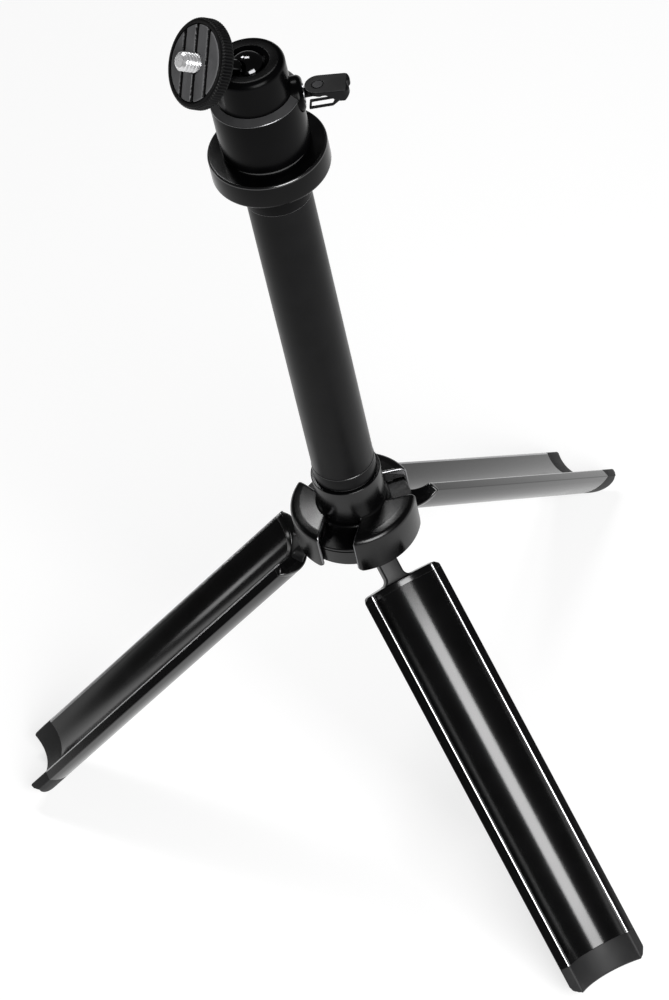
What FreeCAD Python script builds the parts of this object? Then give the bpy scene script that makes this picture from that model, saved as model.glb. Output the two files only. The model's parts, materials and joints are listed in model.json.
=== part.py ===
"""Tabletop tripod: three gutter legs on a twist-lock hub, a plain column and a small ball head.

Lengths are in millimetres, +Z is up. The origin is where the column's axis meets the ground.
The hub, column and head are turned parts about Z; each leg is drawn flat and then set in place.
"""
import FreeCAD
import Part
import math
import os

V = FreeCAD.Vector

# Fits and gaps
RUN_FIT = 0.06          # radial clearance of a pin or shaft that turns
PRESS_FIT = 0.02        # radial clearance of a plug that is pressed or glued in
THREAD_FIT = 0.05       # radial clearance drawn between threaded pieces
SIDE_GAP = 0.35         # side clearance of an arm in its slot
BODY_GAP = 0.3          # between faces that slide past each other
STOP_GAP = 0.15         # between a stop and what it rests on

# Column
TUBE_R = 11.0
TUBE_WALL = 1.6
TUBE_LENGTH = 128.3
FOOT_RING_R = 11.15
FOOT_RING_HEIGHT = 5.7
SPIGOT_LENGTH = 18.0
FOOT_PLUG_LENGTH = 12.0
COLLAR_R = 11.6
COLLAR_HEIGHT = 5.3
COLLAR_STUB_LENGTH = 15.0

# Legs, in the leg's own flat frame: along it, across it, and out of its hollow side
LEG_TILT = 44.0
LEG_AZIMUTHS = {"front": -70.1, "right": 49.7, "left": 168.9}
LEG_LENGTH = 158.4
LEG_WIDTH = 30.8
LEG_DEPTH = 10.8
LEG_WALL = 6.4          # from the keel up to the gutter's floor, hollow between two skins
RIM_WIDTH = 3.9
RIM_EDGE_R = 1.4        # round of the rim's inner edge
LEG_ROOT_STEP = 14.45   # from the hinge out to the middle of the leg's upper end, seen from above
CHAMBER_SKIN = 1.3
CHAMBER_HALF = 9.5
TENON_LENGTH = 9.0
FOOT_LENGTH = 11.0
FOOT_HOLLOW = 0.8       # how far the foot's end is drawn in at its middle
FOOT_CORNER_R = 4.5
FOOT_FLAT = 0.4         # worn flat that rests on the ground
ROOT_BAND_LENGTH = 2.6
ROOT_BAND_RISE = 0.8    # the band's floor stands this much above the gutter's
ROOT_CORNER_R = 2.2
ARM_WIDTH = 7.2
ARM_THICKNESS = 5.0
ARM_FLARE_R = 2.4
ARM_DEPTH = 3.8         # from the rims' plane down to the arm's top
ARM_CORNER_R = 0.6
KNUCKLE_R = 3.0
HEEL_REACH = 2.2

# Hub, heights from the level of the legs' upper ends
HINGE_STEP = 7.25       # from the disc's rim in to the hinges
HINGE_HEIGHT = 7.1
PIN_R = 1.5
PIN_LENGTH = 16.0
LUG_R = 3.4
LUG_THICKNESS = 4.0
DISC_R = 20.6
DISC_BOTTOM = 5.9
DISC_TOP = 14.3
DISC_GROOVE_DEPTH = 0.4
DISC_GROOVE_WIDTH = 0.6
DISC_GROOVE_DROP = 1.0  # from the disc's top edge down to its groove
DRUM_R = 13.5
DRUM_TOP = 18.2
POST_R = 9.55
SLOT_END_R = 8.9
BOSS_R = 8.2
BOSS_DROP = 3.6
HUB_BOLT_R = 3.0
HUB_BOLT_HEAD_R = 5.0
HUB_BOLT_HEAD_HEIGHT = 3.4
HUB_WASHER_R = 6.2
HUB_WASHER_THICKNESS = 1.0
HEX_KEY = 5.0

# Lock ring
RING_R = 22.3
RING_BOTTOM = 4.4
RING_WALL_TOP = 16.2
RING_CROWN_R = 18.9
RING_CROWN_TOP = 19.45
RING_NECK_TOP = 20.9
SLEEVE_R = 12.3
SLEEVE_TOP = 33.8
RING_GAP_WIDTH = 12.5
RING_GAP_AZIMUTH = -117.0
RING_GAP_CORNER_R = 1.2
RING_WASHER_THICKNESS = 0.4
RING_WASHER_R = 10.7

# Platform under the head
PLATFORM_R = 19.75
PLATFORM_THICKNESS = 9.7
PLATFORM_CONE = 6.1
PLATFORM_EDGE_R = 0.8
STUD_R = 3.0
STUD_LENGTH = 34.0
PAN_WASHER_R = 13.6
PAN_WASHER_THICKNESS = 0.7

# Ball head
HEAD_R = 14.8
HEAD_SIDE_HEIGHT = 20.2
HEAD_FOOT_CHAMFER = 1.0
HEAD_CONE_HEIGHT = 1.7
HEAD_FLOOR = 10.2
HEAD_NECK_R = 10.5
HEAD_NECK_HEIGHT = 5.0
HEAD_BORE_R = 6.9
CAP_R = 12.15
CAP_HEIGHT = 13.6
CAP_SHOULDER_R = 2.4
CAP_LIP_R = 5.9
CAP_TOP_DISH = 0.5
BALL_R = 6.67
BALL_HEIGHT = 9.1       # from the cap's lower edge up to the ball's centre
SEAT_RIM_DROP = 3.65    # from the ball's centre down to the seat's rim
SEAT_FLOOR = 1.6
BALL_TILT = 51.5        # from upright, as it stands
BALL_AZIMUTH = 199.2
STEM_R = 3.3
STEM_COLLAR_R = 5.2
STEM_COLLAR_START = 12.6
STEM_NOTCH_GAP = 0.35

# Camera plate
PLATE_REACH = 21.6      # from the ball's centre to the plate's face
PLATE_R = 14.6
PLATE_THICKNESS = 4.6
PLATE_FACE_R = 13.9
PLATE_CHAMFER = 0.5
KNURLS = 84
KNURL_DEPTH = 0.35
PAD_R = 12.3
PAD_THICKNESS = 1.4
PAD_PROUD = 0.15
PAD_GROOVE_WIDTH = 1.3
PAD_GROOVE_DEPTH = 0.7
PAD_GROOVE_PITCH = 6.2
PAD_TURN = 122.0        # turns the pad's grooves from the ball's tilting plane
SCREW_R = 3.175
SCREW_PROUD = 6.2
SCREW_CHAMFER = 0.9
SCREW_NECK_R = 3.0      # plain neck of the screw, below the pad's face
SCREW_ROOT = 4.5        # length held in the stem

# Clamp: bolt, lever and what they press on
CLAMP_AZIMUTH = -5.0
CLAMP_DROP = 4.2        # from the cap's lower edge down to the bolt's axis
CLAMP_BOSS_R = 6.2
CLAMP_BOSS_FACE = 15.5
CLAMP_BOSS_EDGE_R = 2.2
CLAMP_BOLT_R = 1.75
CLAMP_BOLT_TIP = 4.2
BUSHING_R = 3.2
BUSHING_PROUD = 0.2
EYE_R = 2.3
EYE_HEIGHT = 1.6
LEVER_PIN_R = 1.0
LEVER_PIN_REACH = 20.3  # from the column's axis to the lever's pin
LEVER_TURN = -8.0       # how far the lever stands turned from the bolt's line
LEVER_LENGTH = 10.2     # from the pin to the lever's tip
LEVER_WIDTH = 8.6
LEVER_TOP = 2.6         # above the bolt's axis
LEVER_CHEEK = 1.5       # thickness of the wing at its pin
LEVER_GRIP = 3.2        # thickness of the wing at the thumb
LEVER_LOW = 6.3         # the strap's underside, below the bolt's axis
STRAP_THICKNESS = 0.9
STRAP_RISE = 0.8        # how much the strap rises over its window's length
STRAP_WIDTH = 4.0
STRAP_END = 3.9         # how far the strap runs back past the pin
LEVER_NOTCH_R = 1.5
LEVER_NOTCH_DEPTH = 0.9
STRAP_BAR = 0.7         # width of the bars round the strap's window
STRAP_WINDOW_END = 4.4
WEDGE_R = 6.5

# Worked out from the sizes above
HALF_WIDTH = LEG_WIDTH / 2
ARC_R = (HALF_WIDTH ** 2 + LEG_DEPTH ** 2) / (2 * LEG_DEPTH)
ARC_CENTRE = ARC_R - LEG_DEPTH
RIM_INNER_HALF = HALF_WIDTH - RIM_WIDTH * math.cos(math.radians(30))
RIM_RISE = RIM_WIDTH * math.sin(math.radians(30))
FLOOR_HEIGHT = LEG_WALL - LEG_DEPTH
FLOOR_R = (RIM_INNER_HALF ** 2 + (RIM_RISE - FLOOR_HEIGHT) ** 2) / (2 * (RIM_RISE - FLOOR_HEIGHT))
FLOOR_CENTRE = FLOOR_HEIGHT + FLOOR_R
HINGE_R = DISC_R - HINGE_STEP
LEG_ROOT_R = HINGE_R + LEG_ROOT_STEP
SIN_TILT = math.sin(math.radians(LEG_TILT))
COS_TILT = math.cos(math.radians(LEG_TILT))
HUB = (LEG_LENGTH - FOOT_HOLLOW) * SIN_TILT + LEG_DEPTH * COS_TILT - FOOT_FLAT
HINGE_ALONG = (HINGE_R - LEG_ROOT_R) * COS_TILT - HINGE_HEIGHT * SIN_TILT
HINGE_OUT = (HINGE_R - LEG_ROOT_R) * SIN_TILT + HINGE_HEIGHT * COS_TILT
TUBE_INNER_R = TUBE_R - TUBE_WALL
RING_STEP = DISC_TOP + BODY_GAP
RING_UNDER = DRUM_TOP + BODY_GAP
FOOT_RING_BOTTOM = SLEEVE_TOP + RING_WASHER_THICKNESS
TUBE_BOTTOM = FOOT_RING_BOTTOM + FOOT_RING_HEIGHT
TUBE_TOP = TUBE_BOTTOM + TUBE_LENGTH
SPIGOT_TOP = FOOT_RING_BOTTOM + SPIGOT_LENGTH
FOOT_PLUG_TOP = SPIGOT_TOP + FOOT_PLUG_LENGTH
COLLAR_TOP = TUBE_TOP + COLLAR_HEIGHT
PLATFORM_TOP = COLLAR_TOP + PLATFORM_CONE + PLATFORM_THICKNESS
HEAD_BOTTOM = PLATFORM_TOP + PAN_WASHER_THICKNESS
HEAD_SIDE_TOP = HEAD_BOTTOM + HEAD_FOOT_CHAMFER + HEAD_SIDE_HEIGHT
CAP_BOTTOM = HEAD_SIDE_TOP + HEAD_CONE_HEIGHT
CAP_TOP = CAP_BOTTOM + CAP_HEIGHT
BALL_CENTRE = CAP_BOTTOM + BALL_HEIGHT
CLAMP_HEIGHT = CAP_BOTTOM - CLAMP_DROP
HEAD_FLOOR_TOP = HEAD_BOTTOM + HEAD_FLOOR
SEAT_BOTTOM = BALL_CENTRE - BALL_R - SEAT_FLOOR


def turned(points):
    """Solid of revolution about Z of a closed outline of (radius, height) points."""
    corners = [V(r, 0, z) for r, z in points]
    outline = Part.makePolygon(corners + corners[:1])
    return Part.Face(outline).revolve(V(0, 0, 0), V(0, 0, 1), 360)


def cylinder(radius, low, high):
    return Part.makeCylinder(radius, high - low, V(0, 0, low))


def box(low, high):
    size = [b - a for a, b in zip(low, high)]
    return Part.makeBox(*size, V(*low))


def extruded(points, axis, start, length):
    """Prism of a flat outline; the outline's two coordinates fill the axes that are left over."""
    places = {
        "x": lambda a, b: V(start, a, b),
        "y": lambda a, b: V(a, start, b),
        "z": lambda a, b: V(a, b, start),
    }
    steps = {"x": V(length, 0, 0), "y": V(0, length, 0), "z": V(0, 0, length)}
    corners = [places[axis](a, b) for a, b in points]
    return Part.Face(Part.makePolygon(corners + corners[:1])).extrude(steps[axis])


def rounded(solid, radius, chosen):
    """Fillet the edges for which chosen(edge) is true."""
    edges = [edge for edge in solid.Edges if chosen(edge)]
    return solid.makeFillet(radius, edges) if edges else solid


def circle_at(radius, height):
    """True for a circular edge about Z of this radius and height."""
    def test(edge):
        curve = edge.Curve
        return (
            isinstance(curve, Part.Circle)
            and abs(curve.Radius - radius) < 1e-4
            and abs(curve.Center.z - height) < 1e-4
        )
    return test


def direction(azimuth, elevation=0.0):
    a = math.radians(azimuth)
    e = math.radians(elevation)
    return V(math.cos(a) * math.cos(e), math.sin(a) * math.cos(e), math.sin(e))


def placed(solid, origin, x_axis, z_axis):
    """The solid moved from its own frame to one with this origin and these axes."""
    y_axis = z_axis.cross(x_axis)
    matrix = FreeCAD.Matrix(
        x_axis.x, y_axis.x, z_axis.x, origin.x,
        x_axis.y, y_axis.y, z_axis.y, origin.y,
        x_axis.z, y_axis.z, z_axis.z, origin.z,
        0, 0, 0, 1,
    )
    return solid.copy().transformed(matrix)


def at_azimuth(solid, azimuth):
    return solid.copy().rotated(V(0, 0, 0), V(0, 0, 1), azimuth)


def raised(solid):
    """Hub, column and head are drawn from the hub's level, which stands HUB above the ground."""
    return solid.translated(V(0, 0, HUB))


# Legs

def crescent(start, length, rise=0.0):
    """The leg's full section, rims and all, along part of its length; rise lifts its floor."""
    outer = Part.Arc(V(start, -HALF_WIDTH, 0), V(start, 0, -LEG_DEPTH), V(start, HALF_WIDTH, 0))
    inner = Part.Arc(
        V(start, RIM_INNER_HALF, RIM_RISE),
        V(start, 0, FLOOR_HEIGHT + rise),
        V(start, -RIM_INNER_HALF, RIM_RISE),
    )
    rim = Part.LineSegment(V(start, HALF_WIDTH, 0), V(start, RIM_INNER_HALF, RIM_RISE))
    other_rim = Part.LineSegment(V(start, -RIM_INNER_HALF, RIM_RISE), V(start, -HALF_WIDTH, 0))
    outline = Part.Wire([outer.toShape(), rim.toShape(), inner.toShape(), other_rim.toShape()])
    solid = Part.Face(outline).extrude(V(length, 0, 0))

    def is_rim_edge(edge):
        return along_x(edge) and abs(abs(edge.Vertexes[0].Y) - RIM_INNER_HALF) < 1e-6

    return rounded(solid, RIM_EDGE_R, is_rim_edge)


def chamber(start, length, clearance=0.0):
    """The hollow between the leg's two skins, or the tenon that fills it when clearance is given."""
    low_r = ARC_R - CHAMBER_SKIN - clearance
    high_r = FLOOR_R + CHAMBER_SKIN + clearance
    half = CHAMBER_HALF - clearance

    def low(across):
        return V(start, across, ARC_CENTRE - math.sqrt(low_r ** 2 - across ** 2))

    def high(across):
        return V(start, across, FLOOR_CENTRE - math.sqrt(high_r ** 2 - across ** 2))

    outline = Part.Wire([
        Part.Arc(low(-half), low(0), low(half)).toShape(),
        Part.LineSegment(low(half), high(half)).toShape(),
        Part.Arc(high(half), high(0), high(-half)).toShape(),
        Part.LineSegment(high(-half), low(-half)).toShape(),
    ])
    return Part.Face(outline).extrude(V(length, 0, 0))


def plan_block(near, near_bow, far, far_bow, corner_r=0.0, corner_at=0.0):
    """Upright block over the leg's plan between two bowed cross lines, for trimming its ends.

    A positive bow moves the middle of a cross line towards the leg's upper end.
    """
    half = HALF_WIDTH + (0.0 if corner_r else 1.0)
    low = -LEG_DEPTH - 1
    height = LEG_DEPTH + RIM_WIDTH + 2
    a, b = V(near, -half, low), V(near, half, low)
    c, d = V(far, half, low), V(far, -half, low)

    def cross_line(start, end, x, bow):
        if bow:
            return Part.Arc(start, V(x - bow, 0, low), end).toShape()
        return Part.LineSegment(start, end).toShape()

    outline = Part.Wire([
        cross_line(a, b, near, near_bow),
        Part.LineSegment(b, c).toShape(),
        cross_line(c, d, far, far_bow),
        Part.LineSegment(d, a).toShape(),
    ])
    block = Part.Face(outline).extrude(V(0, 0, height))
    if corner_r:
        def is_corner(edge):
            ends = [v.Point for v in edge.Vertexes]
            upright = abs(ends[0].x - ends[-1].x) < 1e-6 and abs(ends[0].y - ends[-1].y) < 1e-6
            return upright and abs(ends[0].x - corner_at) < 1e-6
        block = rounded(block, corner_r, is_corner)
    return block


SHELL_END = LEG_LENGTH - FOOT_LENGTH


def leg_shell():
    """Extruded gutter with mitred rims and a hollow between its floor and its keel."""
    length = SHELL_END - ROOT_BAND_LENGTH
    shell = crescent(ROOT_BAND_LENGTH, length)
    return shell.cut(chamber(ROOT_BAND_LENGTH - 1, length + 2))


def foot_cap():
    """Rubber end of the gutter, with round corners, a hollowed end and a tenon in the hollow."""
    band = crescent(SHELL_END, FOOT_LENGTH)
    trim = plan_block(SHELL_END, 0, LEG_LENGTH, FOOT_HOLLOW, FOOT_CORNER_R, LEG_LENGTH)
    tenon = chamber(SHELL_END - TENON_LENGTH, TENON_LENGTH + 1, THREAD_FIT)
    return band.common(trim).fuse(tenon).removeSplitter()


def leg_bracket():
    """Root of the leg: the band that closes the gutter, its tenon, the arm and the hinge eye."""
    band = crescent(0, ROOT_BAND_LENGTH, ROOT_BAND_RISE)
    band = band.common(plan_block(0, 0, ROOT_BAND_LENGTH, 0, ROOT_CORNER_R, 0))
    tenon = chamber(ROOT_BAND_LENGTH - 1, TENON_LENGTH + 1, THREAD_FIT)
    arm_bottom = -ARM_DEPTH - ARM_THICKNESS
    arm = box(
        (HINGE_ALONG, -ARM_WIDTH / 2, arm_bottom),
        (ROOT_BAND_LENGTH / 2, ARM_WIDTH / 2, -ARM_DEPTH),
    )
    arm = rounded(arm, ARM_CORNER_R, lambda edge: along_x(edge) and edge.Vertexes[0].Z > arm_bottom + 1)
    eye = Part.makeCylinder(
        KNUCKLE_R, ARM_WIDTH, V(HINGE_ALONG, -ARM_WIDTH / 2, HINGE_OUT), V(0, 1, 0)
    )
    bore = Part.makeCylinder(
        PIN_R + RUN_FIT, ARM_WIDTH + 2, V(HINGE_ALONG, -ARM_WIDTH / 2 - 1, HINGE_OUT), V(0, 1, 0)
    )
    flares = [arm_flare(side) for side in (-1, 1)]
    bracket = band.fuse([tenon, arm, eye, stop_heel()] + flares).cut(bore)
    return bracket.removeSplitter()


def arm_flare(side):
    """Hollow round between the arm's side and the band's end face."""
    half = ARM_WIDTH / 2
    reach = half + ARM_FLARE_R
    low = -ARM_DEPTH - ARM_THICKNESS
    high = -ARM_DEPTH - ARM_CORNER_R
    near, far = sorted((side * half, side * reach))
    block = box((-ARM_FLARE_R, near, low), (0.5, far, high))
    round_tool = Part.makeCylinder(ARM_FLARE_R, high - low + 2, V(-ARM_FLARE_R, side * reach, low - 1))
    return block.cut(round_tool)


def along_x(edge):
    ends = [v.Point for v in edge.Vertexes]
    return len(ends) == 2 and (ends[0] - ends[1]).cross(V(1, 0, 0)).Length < 1e-6


def stop_heel():
    """Flat toe above the hinge eye that meets the lock ring's underside when the leg is spread."""
    top = RING_STEP - STOP_GAP - HINGE_HEIGHT
    corners = []
    for reach, height in ((0, 0), (HEEL_REACH, 0), (HEEL_REACH, top), (0, top)):
        along = reach * COS_TILT - height * SIN_TILT
        out = reach * SIN_TILT + height * COS_TILT
        corners.append((HINGE_ALONG + along, HINGE_OUT + out))
    return extruded(corners, "y", -ARM_WIDTH / 2, ARM_WIDTH)


def set_leg(solid, azimuth):
    """From the leg's flat frame to its place under the hub."""
    outward = direction(azimuth)
    along = outward * COS_TILT - V(0, 0, SIN_TILT)
    out = outward * SIN_TILT + V(0, 0, COS_TILT)
    return placed(solid, outward * LEG_ROOT_R + V(0, 0, HUB), along, out)


def hinge_pin(azimuth):
    pin = Part.makeCylinder(PIN_R, PIN_LENGTH, V(HINGE_R, -PIN_LENGTH / 2, HINGE_HEIGHT), V(0, 1, 0))
    return raised(at_azimuth(pin, azimuth))


# Hub

def hub_base():
    """Disc and drum that carry the legs' hinges, with the post for the lock ring and the column."""
    groove_top = DISC_TOP - DISC_GROOVE_DROP
    groove_low = groove_top - DISC_GROOVE_WIDTH
    body = turned([
        (0, DISC_BOTTOM - BOSS_DROP),
        (BOSS_R, DISC_BOTTOM - BOSS_DROP),
        (BOSS_R, DISC_BOTTOM),
        (DISC_R - 0.8, DISC_BOTTOM),
        (DISC_R, DISC_BOTTOM + 0.8),
        (DISC_R, groove_low),
        (DISC_R - DISC_GROOVE_DEPTH, groove_low),
        (DISC_R - DISC_GROOVE_DEPTH, groove_top),
        (DISC_R, groove_top),
        (DISC_R, DISC_TOP - 0.3),
        (DISC_R - 0.3, DISC_TOP),
        (DRUM_R, DISC_TOP),
        (DRUM_R, DRUM_TOP - 0.4),
        (DRUM_R - 0.4, DRUM_TOP),
        (POST_R, DRUM_TOP),
        (POST_R, FOOT_RING_BOTTOM - RING_WASHER_THICKNESS),
        (TUBE_INNER_R - PRESS_FIT, FOOT_RING_BOTTOM - RING_WASHER_THICKNESS),
        (TUBE_INNER_R - PRESS_FIT, SPIGOT_TOP),
        (0, SPIGOT_TOP),
    ])
    lug_span = ARM_WIDTH + 2 * SIDE_GAP + 2 * LUG_THICKNESS
    slot_half = ARM_WIDTH / 2 + SIDE_GAP
    for azimuth in LEG_AZIMUTHS.values():
        lug = Part.makeCylinder(LUG_R, lug_span, V(HINGE_R, -lug_span / 2, HINGE_HEIGHT), V(0, 1, 0))
        body = body.fuse(at_azimuth(lug, azimuth))
    for azimuth in LEG_AZIMUTHS.values():
        slot = box((SLOT_END_R, -slot_half, 0), (RING_R + 2, slot_half, DRUM_TOP))
        bore = Part.makeCylinder(
            PIN_R + PRESS_FIT, PIN_LENGTH + DISC_R, V(HINGE_R, -PIN_LENGTH / 2, HINGE_HEIGHT), V(0, 1, 0)
        )
        body = body.cut(at_azimuth(slot.fuse(bore), azimuth))
    recess_top = DISC_BOTTOM - BOSS_DROP + HUB_BOLT_HEAD_HEIGHT + HUB_WASHER_THICKNESS
    body = body.cut(cylinder(HUB_WASHER_R + 0.2, 0, recess_top))
    body = body.cut(cylinder(HUB_BOLT_R + 0.2, 0, SPIGOT_TOP + 1))
    return raised(body.removeSplitter())


def hub_bolt_washer():
    top = DISC_BOTTOM - BOSS_DROP + HUB_BOLT_HEAD_HEIGHT + HUB_WASHER_THICKNESS
    washer = cylinder(HUB_WASHER_R, top - HUB_WASHER_THICKNESS, top)
    return raised(washer.cut(cylinder(HUB_BOLT_R + 0.2, 0, top + 1)))


def hub_bolt():
    """Socket screw from under the hub up into the plug in the column's foot."""
    head_low = DISC_BOTTOM - BOSS_DROP
    head_top = head_low + HUB_BOLT_HEAD_HEIGHT
    bolt = cylinder(HUB_BOLT_HEAD_R, head_low, head_top)
    bolt = rounded(bolt, 0.4, circle_at(HUB_BOLT_HEAD_R, head_low))
    bolt = bolt.fuse(cylinder(HUB_BOLT_R, head_top, FOOT_PLUG_TOP))
    hex_r = HEX_KEY / math.sqrt(3)
    hexagon = [(hex_r * math.cos(k * math.pi / 3), hex_r * math.sin(k * math.pi / 3)) for k in range(6)]
    socket = extruded(hexagon, "z", head_low, HUB_BOLT_HEAD_HEIGHT * 0.6)
    return raised(bolt.cut(socket).removeSplitter())


def leg_lock_ring():
    """Sleeve with three lobes: over the arms it locks the legs, turned away it frees them."""
    ring = turned([
        (POST_R + RUN_FIT, RING_UNDER),
        (DRUM_R + BODY_GAP, RING_UNDER),
        (DRUM_R + BODY_GAP, RING_STEP),
        (DISC_R + BODY_GAP, RING_STEP),
        (DISC_R + BODY_GAP, RING_BOTTOM),
        (RING_R - 0.3, RING_BOTTOM),
        (RING_R, RING_BOTTOM + 0.3),
        (RING_R, RING_WALL_TOP + 3.0),
        (RING_CROWN_R, RING_CROWN_TOP),
        (SLEEVE_R, RING_NECK_TOP),
        (SLEEVE_R, SLEEVE_TOP - 0.3),
        (SLEEVE_R - 0.3, SLEEVE_TOP),
        (POST_R + RUN_FIT, SLEEVE_TOP),
    ])
    ring = rounded(ring, 3.0, circle_at(RING_R, RING_WALL_TOP + 3.0))
    plan = cylinder(RING_R, 0, SLEEVE_TOP)
    for turn in (0, 120, 240):
        gap = box(
            (SLEEVE_R, -RING_GAP_WIDTH / 2, -1),
            (RING_R + 2, RING_GAP_WIDTH / 2, RING_NECK_TOP + 1),
        )
        plan = plan.cut(at_azimuth(gap, RING_GAP_AZIMUTH + turn))
    plan = rounded(plan, RING_GAP_CORNER_R, lobe_corner)
    return raised(ring.common(plan))


def lobe_corner(edge):
    """True for the upright outer corners of the lock ring's lobes."""
    ends = [v.Point for v in edge.Vertexes]
    if len(ends) != 2:
        return False
    upright = math.hypot(ends[0].x - ends[1].x, ends[0].y - ends[1].y) < 1e-4
    radius = math.hypot(ends[0].x, ends[0].y)
    return upright and abs(radius - RING_R) < 0.02 and abs(ends[0].z - ends[1].z) > 5


def lock_ring_washer():
    washer = cylinder(RING_WASHER_R, SLEEVE_TOP, FOOT_RING_BOTTOM)
    return raised(washer.cut(cylinder(TUBE_INNER_R + 0.1, SLEEVE_TOP - 1, FOOT_RING_BOTTOM + 1)))


# Column

def column_foot_ring():
    ring = turned([
        (TUBE_INNER_R + PRESS_FIT, FOOT_RING_BOTTOM),
        (FOOT_RING_R - 0.3, FOOT_RING_BOTTOM),
        (FOOT_RING_R, FOOT_RING_BOTTOM + 0.3),
        (FOOT_RING_R, TUBE_BOTTOM - 0.2),
        (FOOT_RING_R - 0.2, TUBE_BOTTOM),
        (TUBE_INNER_R + PRESS_FIT, TUBE_BOTTOM),
    ])
    return raised(ring)


def column_tube():
    tube = cylinder(TUBE_R, TUBE_BOTTOM, TUBE_TOP).cut(cylinder(TUBE_INNER_R, TUBE_BOTTOM, TUBE_TOP))
    return raised(tube)


def column_foot_plug():
    plug = cylinder(TUBE_INNER_R - PRESS_FIT, SPIGOT_TOP, FOOT_PLUG_TOP)
    return raised(plug.cut(cylinder(HUB_BOLT_R + THREAD_FIT, SPIGOT_TOP - 1, FOOT_PLUG_TOP + 1)))


STUD_LOW = PLATFORM_TOP + HEAD_FLOOR - 2 - STUD_LENGTH


def top_collar():
    """Ring at the column's top, with a stub inside the tube."""
    collar = turned([
        (0, TUBE_TOP - COLLAR_STUB_LENGTH),
        (TUBE_INNER_R - PRESS_FIT, TUBE_TOP - COLLAR_STUB_LENGTH),
        (TUBE_INNER_R - PRESS_FIT, TUBE_TOP),
        (COLLAR_R - 0.5, TUBE_TOP),
        (COLLAR_R, TUBE_TOP + 0.5),
        (COLLAR_R, COLLAR_TOP),
        (0, COLLAR_TOP),
    ])
    return raised(collar.cut(cylinder(STUD_R + THREAD_FIT, STUD_LOW, COLLAR_TOP + 1)))


def head_platform():
    """Round table under the head, which shields it from the folded legs."""
    low = PLATFORM_TOP - PLATFORM_THICKNESS
    table = turned([
        (0, COLLAR_TOP),
        (COLLAR_R, COLLAR_TOP),
        (COLLAR_R + 0.6, COLLAR_TOP + 2.0),
        (PLATFORM_R - 3.5, low),
        (PLATFORM_R, low),
        (PLATFORM_R, PLATFORM_TOP),
        (0, PLATFORM_TOP),
    ])
    table = rounded(table, PLATFORM_EDGE_R, circle_at(PLATFORM_R, PLATFORM_TOP))
    table = rounded(table, 1.6, circle_at(PLATFORM_R, low))
    return raised(table.cut(cylinder(STUD_R + THREAD_FIT, COLLAR_TOP - 1, PLATFORM_TOP + 1)))


def head_stud():
    stud = cylinder(STUD_R, STUD_LOW, STUD_LOW + STUD_LENGTH)
    return raised(stud)


def pan_washer():
    washer = cylinder(PAN_WASHER_R, PLATFORM_TOP, HEAD_BOTTOM)
    return raised(washer.cut(cylinder(STUD_R + THREAD_FIT, PLATFORM_TOP - 1, HEAD_BOTTOM + 1)))


# Ball head

def along_clamp(solid):
    """From a frame with +X along the clamp bolt to its place on the head, at the bolt's height."""
    return raised(at_azimuth(solid, CLAMP_AZIMUTH).translated(V(0, 0, CLAMP_HEIGHT)))


def radial_cylinder(radius, start, end):
    return Part.makeCylinder(radius, end - start, V(start, 0, 0), V(1, 0, 0))


def head_housing():
    """Cup of the head, with the neck that the cap screws on and the boss of the clamp bolt."""
    cup = turned([
        (0, HEAD_BOTTOM),
        (HEAD_R - HEAD_FOOT_CHAMFER, HEAD_BOTTOM),
        (HEAD_R, HEAD_BOTTOM + HEAD_FOOT_CHAMFER),
        (HEAD_R, HEAD_SIDE_TOP),
        (CAP_R + 0.2, CAP_BOTTOM),
        (HEAD_NECK_R, CAP_BOTTOM),
        (HEAD_NECK_R, CAP_BOTTOM + HEAD_NECK_HEIGHT),
        (HEAD_BORE_R, CAP_BOTTOM + HEAD_NECK_HEIGHT),
        (HEAD_BORE_R, HEAD_FLOOR_TOP),
        (0, HEAD_FLOOR_TOP),
    ])
    cup = cup.cut(cylinder(STUD_R + RUN_FIT, HEAD_BOTTOM - 1, PLATFORM_TOP + HEAD_FLOOR - 2))
    boss = radial_cylinder(CLAMP_BOSS_R, CAP_R - 1.0, CLAMP_BOSS_FACE)
    boss = rounded(boss, CLAMP_BOSS_EDGE_R, lambda edge: abs(edge.CenterOfMass.x - CLAMP_BOSS_FACE) < 1e-4)
    cap_room = cylinder(CAP_R + BODY_GAP, CAP_BOTTOM, CAP_TOP + 1).translated(V(0, 0, -CLAMP_HEIGHT))
    boss = boss.cut(cap_room)
    cup = cup.fuse(at_azimuth(boss, CLAMP_AZIMUTH).translated(V(0, 0, CLAMP_HEIGHT)))
    bolt_hole = radial_cylinder(CLAMP_BOLT_R + 0.15, HEAD_BORE_R - 2, CLAMP_BOSS_FACE + 1)
    seat = radial_cylinder(BUSHING_R + PRESS_FIT, HEAD_NECK_R + 1.5, CLAMP_BOSS_FACE + 1)
    hole = at_azimuth(bolt_hole.fuse(seat), CLAMP_AZIMUTH).translated(V(0, 0, CLAMP_HEIGHT))
    return raised(cup.cut(hole).removeSplitter())


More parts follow.
